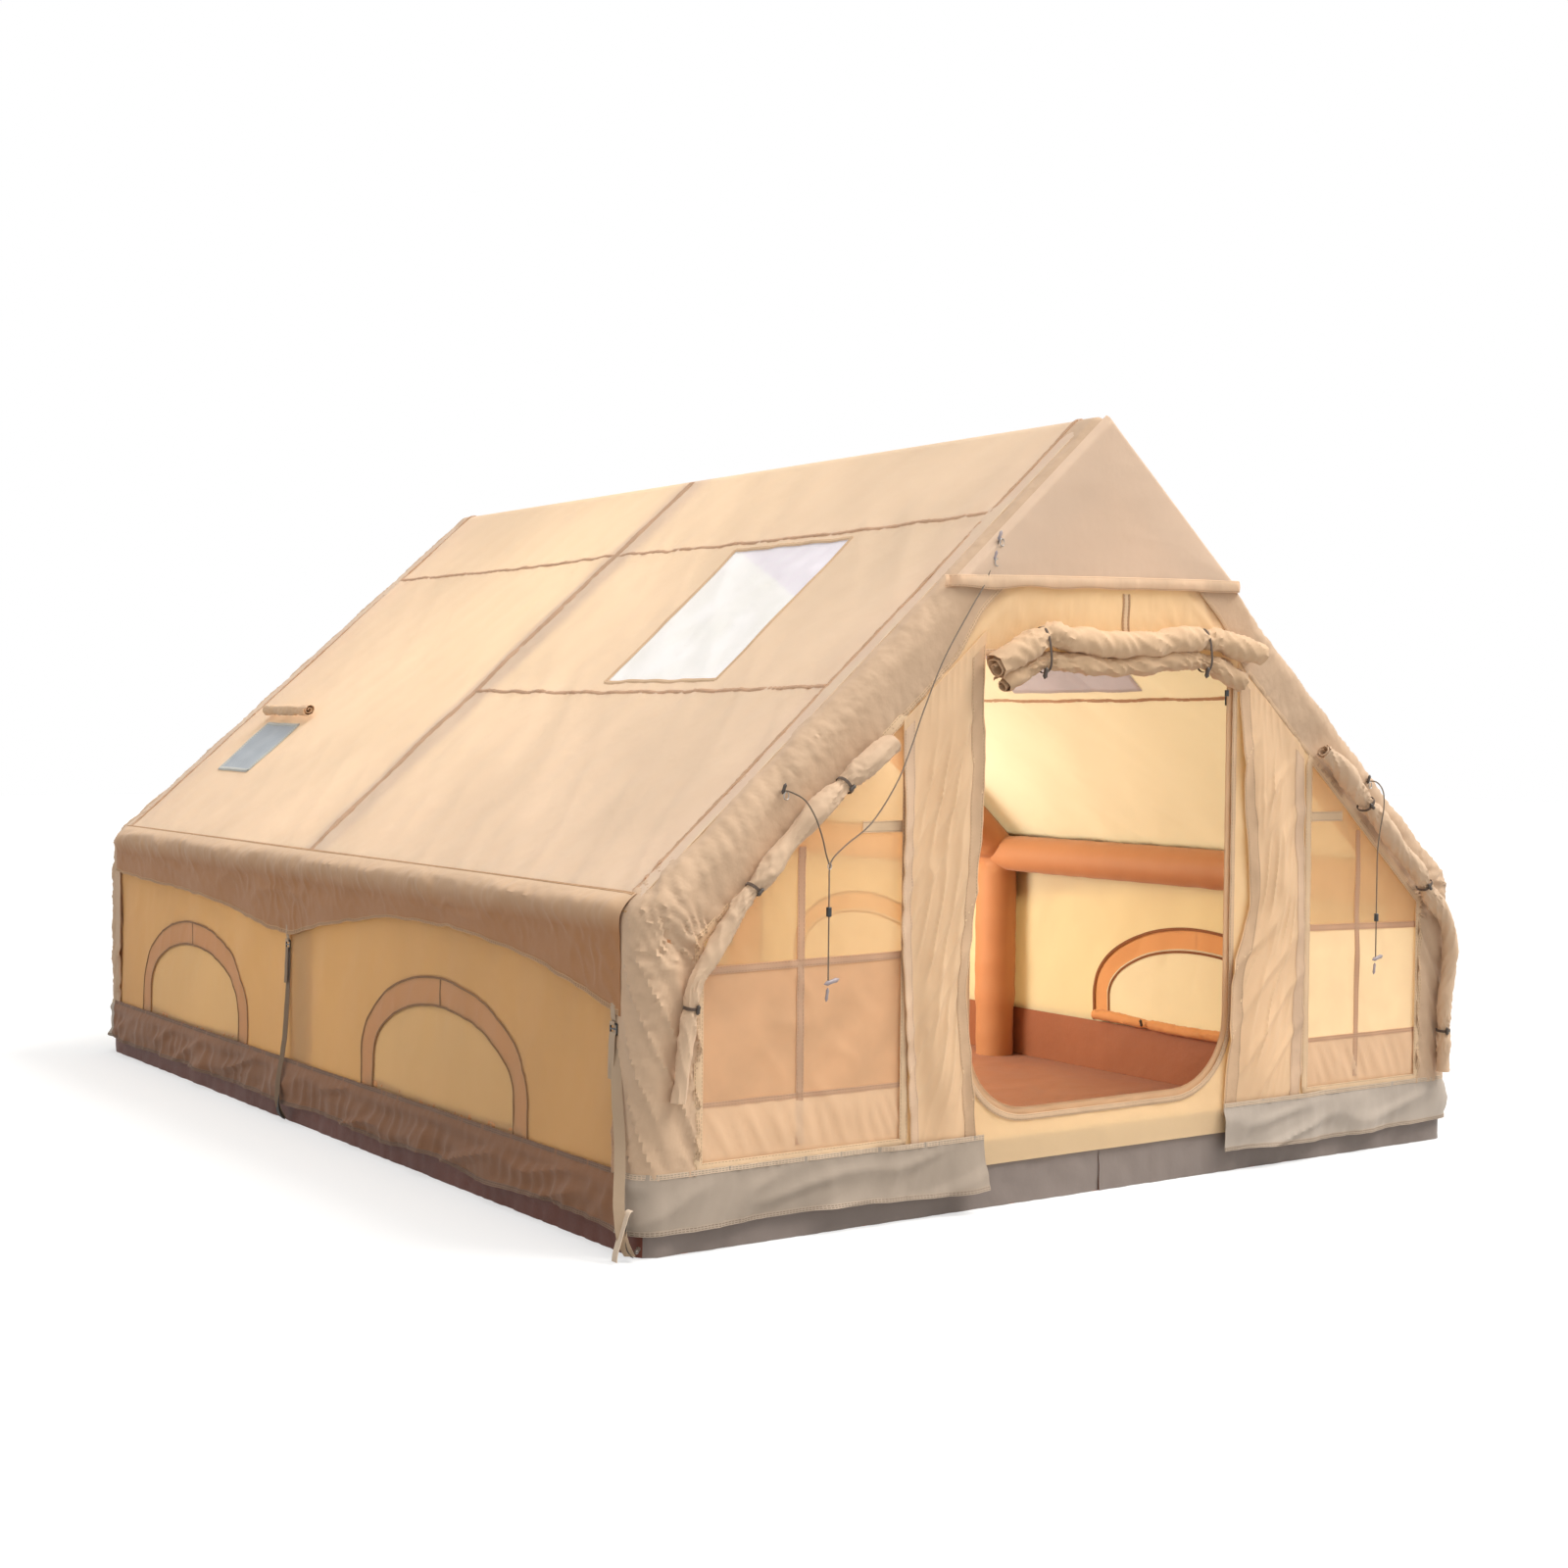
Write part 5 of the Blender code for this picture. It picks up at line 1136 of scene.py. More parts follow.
def side_point(side, y, z, lift=0.0):
    """A point of a side wall."""
    span = arc((z - 0.18) / 0.62)
    drag = 0.0035 * folds(z, y, 0.34, 121 + side, lean=0.3) + 0.003 * creases(z, y, 0.22, 123 + side, lean=0.5)
    foot = hill(z, 0.19, 0.05) * 0.003 * creases(z, y, 0.06, 125, spread=0.2)
    return side * (cloth_line - 0.003 + span * (drag - 0.002) + foot + lift), y, z


def arch_height(across, half, rise):
    """Height of a window arch over its foot, at a distance from its middle."""
    share = np.clip(1 - (across / half) ** 2, 0, 1)
    return window_shoulder + (rise - window_shoulder) * np.sqrt(share)


def arch_edge(u, inset):
    """A point (y from the middle, z) of the arch, inset by a distance; u runs from foot to foot."""
    half, rise = window_half - inset, window_rise - inset
    legs = 0.12
    turn = np.clip((u - legs) / (1 - 2 * legs), 0, 1) * math.pi
    low = np.minimum(np.minimum(u, 1 - u) / legs, 1)
    return -half * np.cos(turn), window_base + window_shoulder * low + (rise - window_shoulder) * np.sin(turn)


for side, side_name in sides:
    def wall_sheet_place(u, v):
        return side_point(side, (2 * u - 1) * 1.912, 0.183 + 0.657 * v)

    wall = sheet_piece(f"{side_name}_wall_cloth", wall_sheet_place, 200, 50, (3.82, 0.68))
    for centre in window_centres.values():
        loop = [arch_edge(i / 60, 0.004) for i in range(61)]
        cut_prism(wall, [(centre + float(y), float(z)) for y, z in loop], "x", (side * 1.44, side * 1.53))
    dress(wall, side_cloth, (f"{side_name}_wall",))
    glow_inside(wall, wall_inside_glow)
    for bay, centre in window_centres.items():
        def ring_place(u, v):
            y, z = arch_edge(u, window_band * v)
            pucker = 0.0012 * creases(v, u * 1.7, 0.05, 127, spread=0.1) * (np.abs(v - 0.5) * 2) ** 2
            return side_point(side, centre + y, z, 0.0008 + 0.0012 * arc(v) + pucker)

        ring = sheet_piece(f"{side_name}_{bay}_window_band", ring_place, 150, 8, (1.7, window_band))
        dress(ring, window_band_cloth)
        glow_inside(ring, window_band_inside_glow)

        def pane_place(u, v):
            across = (2 * u - 1) * (window_half - window_band + 0.01)
            top = arch_height(across, window_half - window_band + 0.012, window_rise - window_band + 0.01)
            middle = arc(u) * arc(v)
            slack = 0.004 * folds(v, u, 0.5, 129 + side) * middle
            return side_point(side, centre + across, window_base + top * v, -0.0018 + slack)

        pane = sheet_piece(f"{side_name}_{bay}_window_cover", pane_place, 60, 24, (0.89, 0.3))
        dress(pane, window_cloth, (f"{side_name}_{bay}_window",))
        glow_inside(pane, window_inside_glow)
        for label, inset, lift, width in (("outer", 0.003, 0.003, 0.006),
                                          ("inner", window_band - 0.002, 0.003, 0.006),
                                          ("outer_inside", 0.002, -0.0042, 0.011),
                                          ("inner_inside", window_band, -0.0048, 0.009)):
            def line_place(u, v):
                y, z = arch_edge(u, inset + (v - 0.5) * width)
                return side_point(side, centre + y, z, lift + math.copysign(0.0008, lift) * arc(v))

            dress(strip_piece(f"{side_name}_{bay}_{label}_edge", line_place, 150, width, 1.8),
                  inner_line if lift < 0 else binding_line)

        def curtain_place(u, v):
            y = centre + (2 * u - 1) * (window_half - 0.03)
            along = (2 * u - 1)
            tied = hill(np.abs(along), 0.45, 0.04)
            angle = 2 * math.pi * 1.6 * v + 0.4 * np.sin(6 * along)
            reach = (0.009 + 0.012 * v) * (1 - 0.3 * tied)
            reach = reach + 0.004 * creases(y, angle * 0.02, 0.06, 119, lean=0.5) * fade(v, 0.3, 0.8)
            x0, _, _ = side_point(side, y, 0.205 + 0 * y)
            return (x0 - side * (0.024 + reach * np.cos(angle)), y,
                    0.207 + reach * np.sin(angle) - 0.006 * np.cos(3 * along))

        curtain = sheet_piece(f"{side_name}_{bay}_curtain", curtain_place, 80, 28, (1.0, 0.2))
        dress(curtain, curtain_cloth)
        for number, share in enumerate((-0.45, 0.45)):
            toggle_piece(f"{side_name}_{bay}_curtain_toggle_{number}",
                         (side * 1.443, centre + share * (window_half - 0.03), 0.214), (0, 0.3, 1),
                         0.028, 0.006)

        def joint_place(u, v):
            z = window_base + window_rise - window_band * (1 - u)
            return side_point(side, centre + (v - 0.5) * 0.007, z, 0.003)

        dress(strip_piece(f"{side_name}_{bay}_band_joint", joint_place, 12, 0.007, window_band), binding_line)

# %% [markdown]
# ## Valances
# A darker cloth hangs from each eave over the walls, with painted shade on its lower part. Its hem is cut
# in shallow arches between the straps, so the straps pull straight folds into it, and it stands off the wall
# between them.

# %% Valances
hem_places = [-1.93, -1.836, -1.739, -1.536, -1.09, -0.585, -0.08, 0.194, 0.535, 0.90, 1.74, 1.93]
hem_heights = [0.575, 0.596, 0.629, 0.671, 0.723, 0.724, 0.654, 0.600, 0.637, 0.677, 0.700, 0.712]
strap_ys = (-1.875, 0.19)


def read_line(at, places, values, reach, count, span):
    """Values measured at a few places, read off a smooth line through them."""
    fine = np.linspace(*reach, count)
    kernel = np.hanning(span) / np.hanning(span).sum()
    padded = np.pad(np.interp(fine, places, values), span // 2, mode="edge")
    return np.interp(at, fine, np.convolve(padded, kernel, mode="valid"))


def hem_height(y):
    return read_line(y, hem_places, hem_heights, (-1.93, 1.93), 200, 17) + 0.002 * folds(y * 0, y, 0.14, 131)


def valance_point(side, y, t, lift=0.0):
    first = slope_end - 0.016
    last = wall_start + wall_top - hem_height(y)
    run = (last - first) * t
    x, z, nx, nz = house_line(side * (first + run))
    near = np.minimum(np.abs(y - strap_ys[0]), np.abs(y - strap_ys[1]))
    free = fade(near, 0.0, 0.35)
    seed = 133 + int(side)
    puff = 0.017 * hill(run, 0.055, 0.045)
    pleat_depth = fade(run, 0.0, 0.02) * (1 - fade(run, 0.05, 0.17))
    pleats = creases(run, y, 0.033, seed, lean=0.3, spread=0.2)
    pleats = pleats + creases(run, y, 0.06, seed + 5, lean=0.5, spread=0.3)
    pleats = 0.0014 * pleats * pleat_depth * (0.6 + 0.5 * folds(run * 0, y, 0.3, seed + 6))
    slant = 0.013 * creases(run, y, 0.24, seed + 2, lean=1.5, spread=0.4) * fade(run, 0.02, 0.06)
    slant = slant + 0.007 * creases(run, y, 0.13, seed + 8, lean=-1.1, spread=0.5) * fade(run, 0.03, 0.08)
    slant = slant + 0.0035 * creases(run, y, 0.06, seed + 9, lean=1.2, spread=0.5) * fade(run, 0.01, 0.04)
    wave = 0.007 * t ** 1.5 * free * folds(t * 0.4, y, 0.42, seed + 1, spread=0.1)
    pulled = (1 - free) * 0.005 * creases(run, y, 0.09, seed + 3, lean=0.5, spread=0.4) * fade(t, 0.1, 0.5)
    ends = fade(1.93 - np.abs(y), 0.0, 0.07)
    out = 0.0035 + (puff + 0.008 * t ** 2 * free + pleats + wave + pulled + slant * (1 - 0.9 * t)) * ends + lift
    return x + nx * out, y, z + nz * out


for side, side_name in sides:
    def place(u, v):
        return valance_point(side, (2 * u - 1) * 1.905, v)

    valance = sheet_piece(f"{side_name}_valance_cloth", place, 640, 26, (3.81, 0.30))
    dress(valance, valance_cloth, (f"{side_name}_valance",))
    for label, t0, width in (("hem", 0.975, 0.010), ("seam", 0.012, 0.007)):
        def line(u, v):
            return valance_point(side, (2 * u - 1) * 1.9, t0 + (v - 0.5) * width / 0.2, 0.0016)

        dress(strip_piece(f"{side_name}_valance_{label}", line, 480, width, 3.8), dark_tape)
print("valances done")

# %% [markdown]
# ## Skirts
# Skirts hide the joint of wall and tub. Nothing holds their lower edge, so it ripples and lifts a little.
# One function gives the skirt all round the tent, and each skirt is a stretch of it.

# %% Skirts
skirt_top, skirt_tape_width = 0.205, 0.012


def skirt_point(a, t, lift=0.0):
    x, y, nx, ny = footprint(a)
    foot = 0.062 + 0.008 * folds(a * 0, a, 0.5, 141)
    z = skirt_top + (foot - skirt_top) * t
    ripple = np.maximum(folds(t * 0.1, a, 0.30, 142, spread=0.15) + 0.3, 0)
    pucker = 0.003 * creases(z, a, 0.05, 143, spread=0.25) * hill(t, 0, 0.25)
    crease = 0.009 * creases(z, a, 0.24, 144, lean=1.3, spread=0.3) * fade(t, 0.05, 0.4)
    crease = crease + 0.004 * creases(z, a, 0.12, 145, lean=0.5, spread=0.25) * fade(t, 0.1, 0.5)
    over_flap = 0.013 * (fade(0.82 - a, 0, 0.09) + fade(a - (girth - 0.92), 0, 0.09))
    at_side = fade(np.abs(x), half_width - 0.03, half_width)
    rolled = at_side * 0.007 * (hill(t, 0.22, 0.12) + 0.6 * hill(t, 0.62, 0.15))
    out = 0.0015 + 0.004 * t + 0.012 * t ** 1.5 * ripple + pucker + crease * (1 + 0.5 * at_side) + rolled
    out = out + over_flap + lift
    return x + nx * out, y + ny * out, z


def skirt(name, first, last, material, node):
    length = last - first
    beside = material is shaded_side_skirt_cloth

    def place(u, v):
        return skirt_point(first + length * u, v)

    piece = sheet_piece(name, place, int(length / 0.011), 16, (length, 0.15))
    dress(piece, material, (node,))
    for label, t, tape in (("seam", 0.045, skirt_binding), ("hem", 0.955, skirt_tape)):
        def line(u, v):
            return skirt_point(first + length * u, t + (v - 0.5) * skirt_tape_width / 0.14, 0.0014)

        strip = strip_piece(f"{name}_{label}", line, int(length / 0.012), skirt_tape_width, length)
        dress(strip, shaded_side_skirt_tape if beside else tape)


left_side = front_edge + corner_arc
right_side = girth - left_side
side_run = 2 * side_edge
skirt("front_left_skirt_cloth", 0.44, left_side + 0.02, shaded_skirt_cloth, "front_left_skirt")
# Both side skirts take the cloth in painted shade.
skirt("left_skirt_cloth", left_side + 0.022, left_side + side_run - 0.022, shaded_side_skirt_cloth, "left_skirt")
skirt("rear_skirt_cloth", left_side + side_run - 0.02,
      front_edge + 3 * corner_arc + side_run + 2 * front_edge + 0.02, skirt_cloth, "rear_skirt")
skirt("right_skirt_cloth", right_side - side_run + 0.022, right_side - 0.022, shaded_side_skirt_cloth, "right_skirt")
skirt("front_right_skirt_cloth", right_side - 0.02, girth - 0.468, skirt_cloth, "front_right_skirt")

# %% [markdown]
# ## Door flaps
# A narrow flap hangs on each side of the door, sewn only at its head. It falls in long soft folds and its
# edges curl forward.

# %% Door flaps
flap_edges = {
    -1: (([0.06, 0.30, 0.62, 0.88, 1.40, 1.60], [0.444, 0.470, 0.505, 0.467, 0.449, 0.440]),
         ([0.20, 0.60, 0.89, 1.27], [0.680, 0.702, 0.722, 0.716])),
    1: (([0.10, 0.42, 0.63, 0.76, 0.89, 1.14, 1.45, 1.60],
         [0.472, 0.490, 0.497, 0.550, 0.575, 0.550, 0.523, 0.515]),
        ([0.20, 0.70, 1.22], [0.802, 0.812, 0.802])),
}
flap_head, flap_foot = 1.60, 0.168


def soft_line(places, values, z):
    return read_line(z, places, values, (0.0, 1.7), 120, 15)


def flap_point(side, u, t, lift=0.0):
    """A point of a door flap; u runs from the door outwards and t from the head down."""
    (inner_z, inner_x), (outer_z, outer_x) = flap_edges[side]
    guess = flap_head - 1.43 * t
    x = soft_line(inner_z, inner_x, guess) * (1 - u) + soft_line(outer_z, outer_x, guess) * u
    head = np.minimum(flap_head, roof_height(x, 0.169))
    z = head + (flap_foot - head) * t
    free = fade(t, 0.02, 0.22) * (1 - 0.75 * fade(t, 0.82, 1.0))
    seed = 151 + int(side)
    sway = 0.12 * np.sin(2.6 * t * math.pi + side)
    main = 0.5 - 0.5 * np.cos((u * 2.2 + sway) * math.pi)
    small = folds(t * 1.5, u * 0.3, 0.20, seed, spread=0.10)
    slant = creases(t * 1.5, u * 0.3, 0.19, seed + 1, lean=0.45 * side, spread=0.12)
    curl = hill(u, 0, 0.07) * 0.007 * (1 + np.sin(9 * t + side)) + hill(u, 1, 0.06) * 0.003
    long_way = creases(t * 1.5, u * 0.3, 0.085, seed + 4, lean=0.22 * side, spread=0.12) * arc(u)
    out = free * (0.013 * main + 0.005 * small + 0.008 * slant + 0.006 * long_way + curl)
    gather = 0.002 * creases(t, u * 0.3, 0.05, seed + 2, spread=0.1) * (1 - fade(t, 0.0, 0.12))
    return side * x, -(half_length + 0.0018 + out + gather + lift), z


for side, name in sides:
    def place(u, v):
        return flap_point(side, u, 1 - v)

    flap = sheet_piece(f"{name}_door_flap_cloth", place, 64, 170, (0.28, 1.43))
    dress(flap, flap_cloth, (f"{name}_door_flap",))
    for label, share, width in (("inner", 0.09, 0.044), ("outer", 0.93, 0.036)):
        def line(u, v):
            return flap_point(side, share + (v - 0.5) * width / 0.28, 0.995 - 0.97 * u, 0.0014)

        strip = strip_piece(f"{name}_flap_{label}_hem", line, 170, width, 1.4)
        # The inner hem takes the tape in painted shade.
        dress(strip, flap_hem if label == "outer" else shaded_inner_hem)
print("door flaps done")

# %% [markdown]
# ## Rolls of cloth
# The door, its insect screen and the window covers are rolled up and tied. A roll is one long sheet, so it
# is modelled as a spiral strip: its outer edge runs along the roll, its turns show at the ends, it is
# drawn in at each tie, and twisted wrinkles start from the ties.

# %% Roll maker
def roll_piece(name, depth, line, radius, turns, ties, seed, start_turn, squeeze=0.28, columns=190, bag=0.0,
               taper=(1.0, 1.0)):
    """A sheet rolled up along a line (x, z). ties are shares of its length; taper is its size at both ends."""
    route, length = smooth_route([(x, depth, z) for x, z in line], columns + 1)
    tangent = directions(route)
    upward = np.cross(tangent, (0.0, -1.0, 0.0))
    upward /= np.linalg.norm(upward, axis=1)[:, None]
    upward *= np.sign(upward[columns // 2, 2])
    core = radius * 0.22

    def place(u, v):
        i = number_at(u, columns)
        along = u * length
        near = np.min([np.abs(u - tie) for tie in ties], axis=0) * length
        angle = 2 * math.pi * turns * v + start_turn + 0.5 * np.sin(3.0 * along + seed)
        angle = angle + 0.15 * folds(u * 0, along, 0.1, seed)
        reach = core + (radius - core) * v
        wrinkle = creases(along, angle * radius, 0.022, seed + 1, lean=0.12, spread=0.18)
        wrinkle = hill(near, 0, 0.10) * wrinkle * 0.0055
        twist = creases(along, angle * radius, 0.055, seed + 2, lean=0.55, spread=0.3) * 0.0050
        soft = folds(angle * radius, along, 0.16, seed + 3, lean=0.4) * 0.0045
        drawn_in = 1 - squeeze * hill(near, 0, 0.028)
        reach = reach * drawn_in + (wrinkle + twist + soft - 0.003) * fade(v, 0.15, 0.6)
        reach = reach + bag * np.maximum(-np.sin(angle), 0) * fade(near, 0.02, 0.12)
        size = taper[0] + (taper[1] - taper[0]) * u
        over, up = reach * size * np.cos(angle), reach * size * np.sin(angle) * 0.97
        lean = 0.012 * (v - 0.5) * hill(np.minimum(u, 1 - u), 0, 0.02)
        return (route[i, 0] + upward[i, 0] * up + lean * tangent[i, 0],
                route[i, 1] - over + radius * (1 - size) - fade(v, 0.97, 1.0) * 0.002,
                route[i, 2] + upward[i, 2] * up + lean * tangent[i, 2])

    cut = (length, 2 * math.pi * radius * turns * 0.6)
    return sheet_piece(name, place, columns, 66, cut, 0.0022), route, length


def tie_piece(name, centre, along, half_up, half_out, width, body, wobble):
    """A strap loop round a roll, in the plane across it."""
    along = np.array(along, float)
    along /= np.linalg.norm(along)
    outward = np.array([0.0, -1.0, 0.0])
    upward = np.cross(along, outward)

    def place(u, v):
        turn = 2 * math.pi * u
        out, up = (half * np.sign(wave) * np.abs(wave) ** 0.8
                   for half, wave in ((half_out, np.cos(turn)), (half_up, np.sin(turn))))
        shift = (v - 0.5) * width + wobble * np.sin(turn * 2)
        return [centre[i] + outward[i] * out + upward[i] * up + along[i] * shift for i in range(3)]

    piece = strip_piece(name, place, 48, width, 2.5 * (half_up + half_out), 4, 0.0016)
    apply(piece, "WELD", merge_threshold=weld_reach / 2)
    dress(piece, tie_cloth, (), body)


# %% Door roll and screen roll
door_line = [(-.442, 1.452), (-.359, 1.496), (-.261, 1.540), (-.166, 1.533), (-.033, 1.524), (.119, 1.531),
             (.243, 1.543), (.338, 1.552), (.435, 1.535), (.56, 1.515)]
screen_line = [(-.412, 1.404), (-.364, 1.437), (-.272, 1.472), (-.156, 1.470), (-.023, 1.464), (.129, 1.474),
               (.277, 1.492), (.366, 1.476), (.44, 1.449), (.489, 1.432)]
door_ties, screen_ties = (0.185, 0.775), (0.165, 0.825)
door_cloth, door_route, door_length = roll_piece("rolled_door", -2.045, door_line, 0.041, 2.4, door_ties,
                                                 161, 0.9, bag=0.004)
dress(door_cloth, roll_cloth, ("door_roll",), "door_rolls")
screen_cloth, screen_route, screen_length = roll_piece("rolled_screen", -2.036, screen_line, 0.031, 2.0,
                                                       screen_ties, 171, 2.2, bag=0.003)
dress(screen_cloth, screen_roll_cloth, ("door_screen_roll",), "door_rolls")
for number, (share, under_share) in enumerate(zip(door_ties, screen_ties)):
    under = screen_route[int(under_share * 190)]
    middle = (door_route[int(share * 190)] + under) / 2
    tie_piece(f"door_tie_{number}", (middle[0], middle[1] - 0.001, middle[2]), (1, 0, 0.1), 0.062, 0.033, 0.007,
              "door_rolls", 0.002)
    toggle_piece(f"door_toggle_{number}", (under[0] - 0.012, under[1] - 0.034, under[2] - 0.030), (0.25, 0, 1),
                 0.034, 0.007, "door_rolls")
print("door roll", round(door_length, 3), "m, screen roll", round(screen_length, 3), "m")

# %% Window cover rolls
cover_rolls = {
    "left": (181, (0.17, 0.50, 0.80), (0.98, 0.60),
             [(-.772, 1.253), (-.911, 1.158), (-1.046, 1.049), (-1.147, .943), (-1.227, .862), (-1.33, .717),
              (-1.37, .646), (-1.395, .482), (-1.409, .382)]),
    "right": (191, (0.20, 0.50, 0.90), (1.05, 0.72),
              [(.841, 1.231), (.926, 1.171), (1.11, 1.008), (1.279, .86), (1.344, .789), (1.421, .703),
               (1.45, .617), (1.443, .534), (1.429, .423), (1.432, .226)]),
}
cover_roll_radius, roll_columns = 0.034, 230
for name, (seed, ties, taper, line) in cover_rolls.items():
    roll, route, length = roll_piece(f"rolled_{name}_cover", -2.039, line, cover_roll_radius, 2.2, ties, seed,
                                     1.4, 0.30, roll_columns, taper=taper)
    dress(roll, cover_roll_cloth, (f"{name}_cover_roll",))
    for number, share in enumerate(ties):
        i = int(share * roll_columns)
        way = route[min(i + 3, roll_columns)] - route[i - 3]
        size = taper[0] + (taper[1] - taper[0]) * share
        centre = route[i] + np.array([0, cover_roll_radius * (1 - size), 0])
        tie_piece(f"{name}_cover_tie_{number}", centre, way, 0.0265 * size, 0.0275 * size, 0.008, "tent", 0.001)
        side_way = np.array([-way[2], 0, way[0]]) / np.linalg.norm(way)
        side_way *= np.sign(side_way[2])
        spot = centre + np.array([0, -0.030 * size, 0]) - side_way * 0.008
        toggle_piece(f"{name}_cover_toggle_{number}", tuple(spot), tuple(way), 0.026, 0.0055)
    print(name, "cover roll", round(length, 3), "m")

# %% [markdown]
# ## Straps
# Webbing comes up from the tub, through a ladder-lock buckle, and hangs as a tail. A short web hook on the
# valance holds the buckle's top bar. The webbing is a ribbon that follows points of distance and height.

# %% Straps
def ribbon_piece(name, side, y, points, width, material, nodes=(), sway=0.0, count=120, slant=0.0, twist=0.0):
    """Webbing beside a wall, through points (distance from the wall, height)."""
    line, length = smooth_route([(0.0, out, z) for out, z in points], count + 1)

    def place(u, v):
        i = number_at(u, count)
        shift = (v - 0.5) * width
        bend = sway * np.sin(2.5 * math.pi * u) * (1 - u)
        cup = 0.0006 * folds(v * width, u * length, 0.09, 201)
        along = np.clip((0.53 - line[i, 2]) / 0.45, 0, 1.05) * (u < 0.8)
        turned = twist * np.clip(3 * along, 0, 1)
        out = half_width + line[i, 1] + cup + (shift + 0.015) * np.sin(turned)
        return side * out, y + shift * np.cos(turned) + bend - slant * along, line[i, 2]

    piece = sheet_piece(name, place, count, 4, (length, width), 0.0015)
    dress(piece, material, nodes)
    return piece, round(length, 3)


bar_thickness, bar_gap, web_half = 0.004, 0.0005, 0.0015
face = 0.0012 + bar_gap + bar_thickness + bar_gap + web_half
for side, side_name in sides:
    for label, y, drop in (("corner", strap_ys[0], 0.575), ("mid", strap_ys[1], 0.600)):
        bar_top = drop - 0.012 - 0.030 + bar_thickness
        points = [(0.012, 0.014), (0.028, 0.045), (0.034, 0.075), (0.031, 0.14), (0.019, 0.21), (0.008, 0.30),
                  (0.0022, 0.42), (0.0014, bar_top - 0.02), (0.0012, bar_top), (0.0022, bar_top + 0.0014),
                  (0.0055, bar_top + 0.0016), (face, bar_top), (face + 0.002, bar_top - 0.03),
                  (face + 0.004, bar_top - 0.07), (face + 0.0045, bar_top - 0.112)]
        slant = 0.112 if (side, label) == (-1, "corner") else 0.0
        strap, length = ribbon_piece(f"{side_name}_{label}_webbing", side, y, points,
                                     0.028 if slant else 0.0215, mid_web if label == "mid" else web_cloth,
                                     (f"{side_name}_{label}_strap",), 0.0015, 260, slant, 0.95 if slant else 0.35)
        bar = drop - 0.012 - 0.004 - 0.0009
        hook = [(0.0075, drop + 0.036), (0.0065, drop + 0.004), (0.0020, bar + 0.006), (0.0009, bar + 0.001),
                (0.0016, bar - 0.0006), (0.0045, bar - 0.0010), (0.0074, bar - 0.0006), (0.0081, bar + 0.001),
                (0.0086, bar + 0.006), (0.0090, bar + 0.009)]
        web, length = ribbon_piece(f"{side_name}_{label}_web_hook", side, y, hook, 0.0215, web_cloth, count=70)
        ribbon_piece(f"{side_name}_{label}_foot_fold", side, y + 0.003 - slant,
                     [(0.016, 0.010), (0.033, 0.030), (0.038, 0.062), (0.036, 0.095)], 0.024, dark_web,
                     count=30)
        if slant:
            ribbon_piece(f"{side_name}_foot_tail", side, y - slant - 0.004,
                         [(0.022, 0.125), (0.032, 0.118), (0.046, 0.078), (0.062, 0.032), (0.066, 0.006)],
                         0.024, tail_cloth, count=40)
            toggle_piece(f"{side_name}_foot_hook", (side * (half_width + 0.012), y - slant - 0.020, 0.030),
                         (side * 1.0, -1.0, -0.2), 0.034, 0.006)
    print(side_name, "straps done")

# %% [markdown]
# ## The door zip
# A zip tape is sewn round the sides and the foot of the door, with a row of moulded teeth on its inner
# edge. One tooth is a cube, an Array makes the row, and each tooth is then moved to its place on the line.

# %% Zip
def door_path(offset, count):
    """Points of the zip's path, from the upper left down, along the sill and up."""
    outline = rounded_outline(-0.5 - offset, 0.5 + offset, 0.24 - offset, door_top + offset, 0.22 + offset,
                              0.05)
    ring, _ = resample(outline, 4000)
    ring = ring[ring[:, 1] < 1.45]
    steps = np.linalg.norm(np.diff(ring, axis=0, append=ring[:1]), axis=1)
    ring = np.roll(ring, -int(np.argmax(steps)) - 1, axis=0)
    return even_points(ring[::-1] if ring[0, 0] > 0 else ring, count)


zip_columns, zip_width, zip_plane = 420, 0.032, -1.9942
zip_line, zip_length = door_path(-0.006, zip_columns + 1)
zip_way = directions(zip_line)


def zip_place(u, v):
    i = number_at(u, zip_columns)
    off = (0.5 - v) * zip_width
    return (zip_line[i, 0] - zip_way[i, 1] * off, zip_plane + 0.0006 * folds(v, u * 4, 0.12, 211),
            zip_line[i, 1] + zip_way[i, 0] * off)


zip_tape = strip_piece("zip_tape", zip_place, zip_columns, zip_width, zip_length, 6, 0.001)
dress(zip_tape, zip_cloth, ("door_zip_tape",))
tooth_pitch, tooth_stops = 0.0034, 6000
teeth = added(bpy.ops.mesh.primitive_cube_add, size=1, scale=(0.0018, 0.0032, 0.0026))
bpy.ops.object.transform_apply(location=False, rotation=False, scale=True)
teeth.name = "zip_teeth"
tooth_count = int(zip_length / tooth_pitch) - 4
apply(teeth, "ARRAY", count=tooth_count, use_relative_offset=False, use_constant_offset=True,
      constant_offset_displace=(tooth_pitch, 0, 0))
tooth_points = points_of(teeth)
edge_line, _ = door_path(-0.0205, tooth_stops)
edge_way = directions(edge_line)
number = np.round(tooth_points[:, 0] / tooth_pitch)
local = tooth_points[:, 0] - number * tooth_pitch
spot = np.clip(((number + 1.5) / (tooth_count + 3) * (tooth_stops - 1)).astype(int), 0, tooth_stops - 1)
across_tape = tooth_points[:, 1] + np.where(number % 2 == 0, 0.0007, -0.0007)
over, up = (edge_line[spot, i] + edge_way[spot, i] * local for i in (0, 1))
set_points(teeth, np.column_stack((over - edge_way[spot, 1] * across_tape, zip_plane - tooth_points[:, 2],
                                   up + edge_way[spot, 0] * across_tape)))
dress(teeth, zip_cloth)
print("zip", round(zip_length, 2), "m with", tooth_count, "teeth")

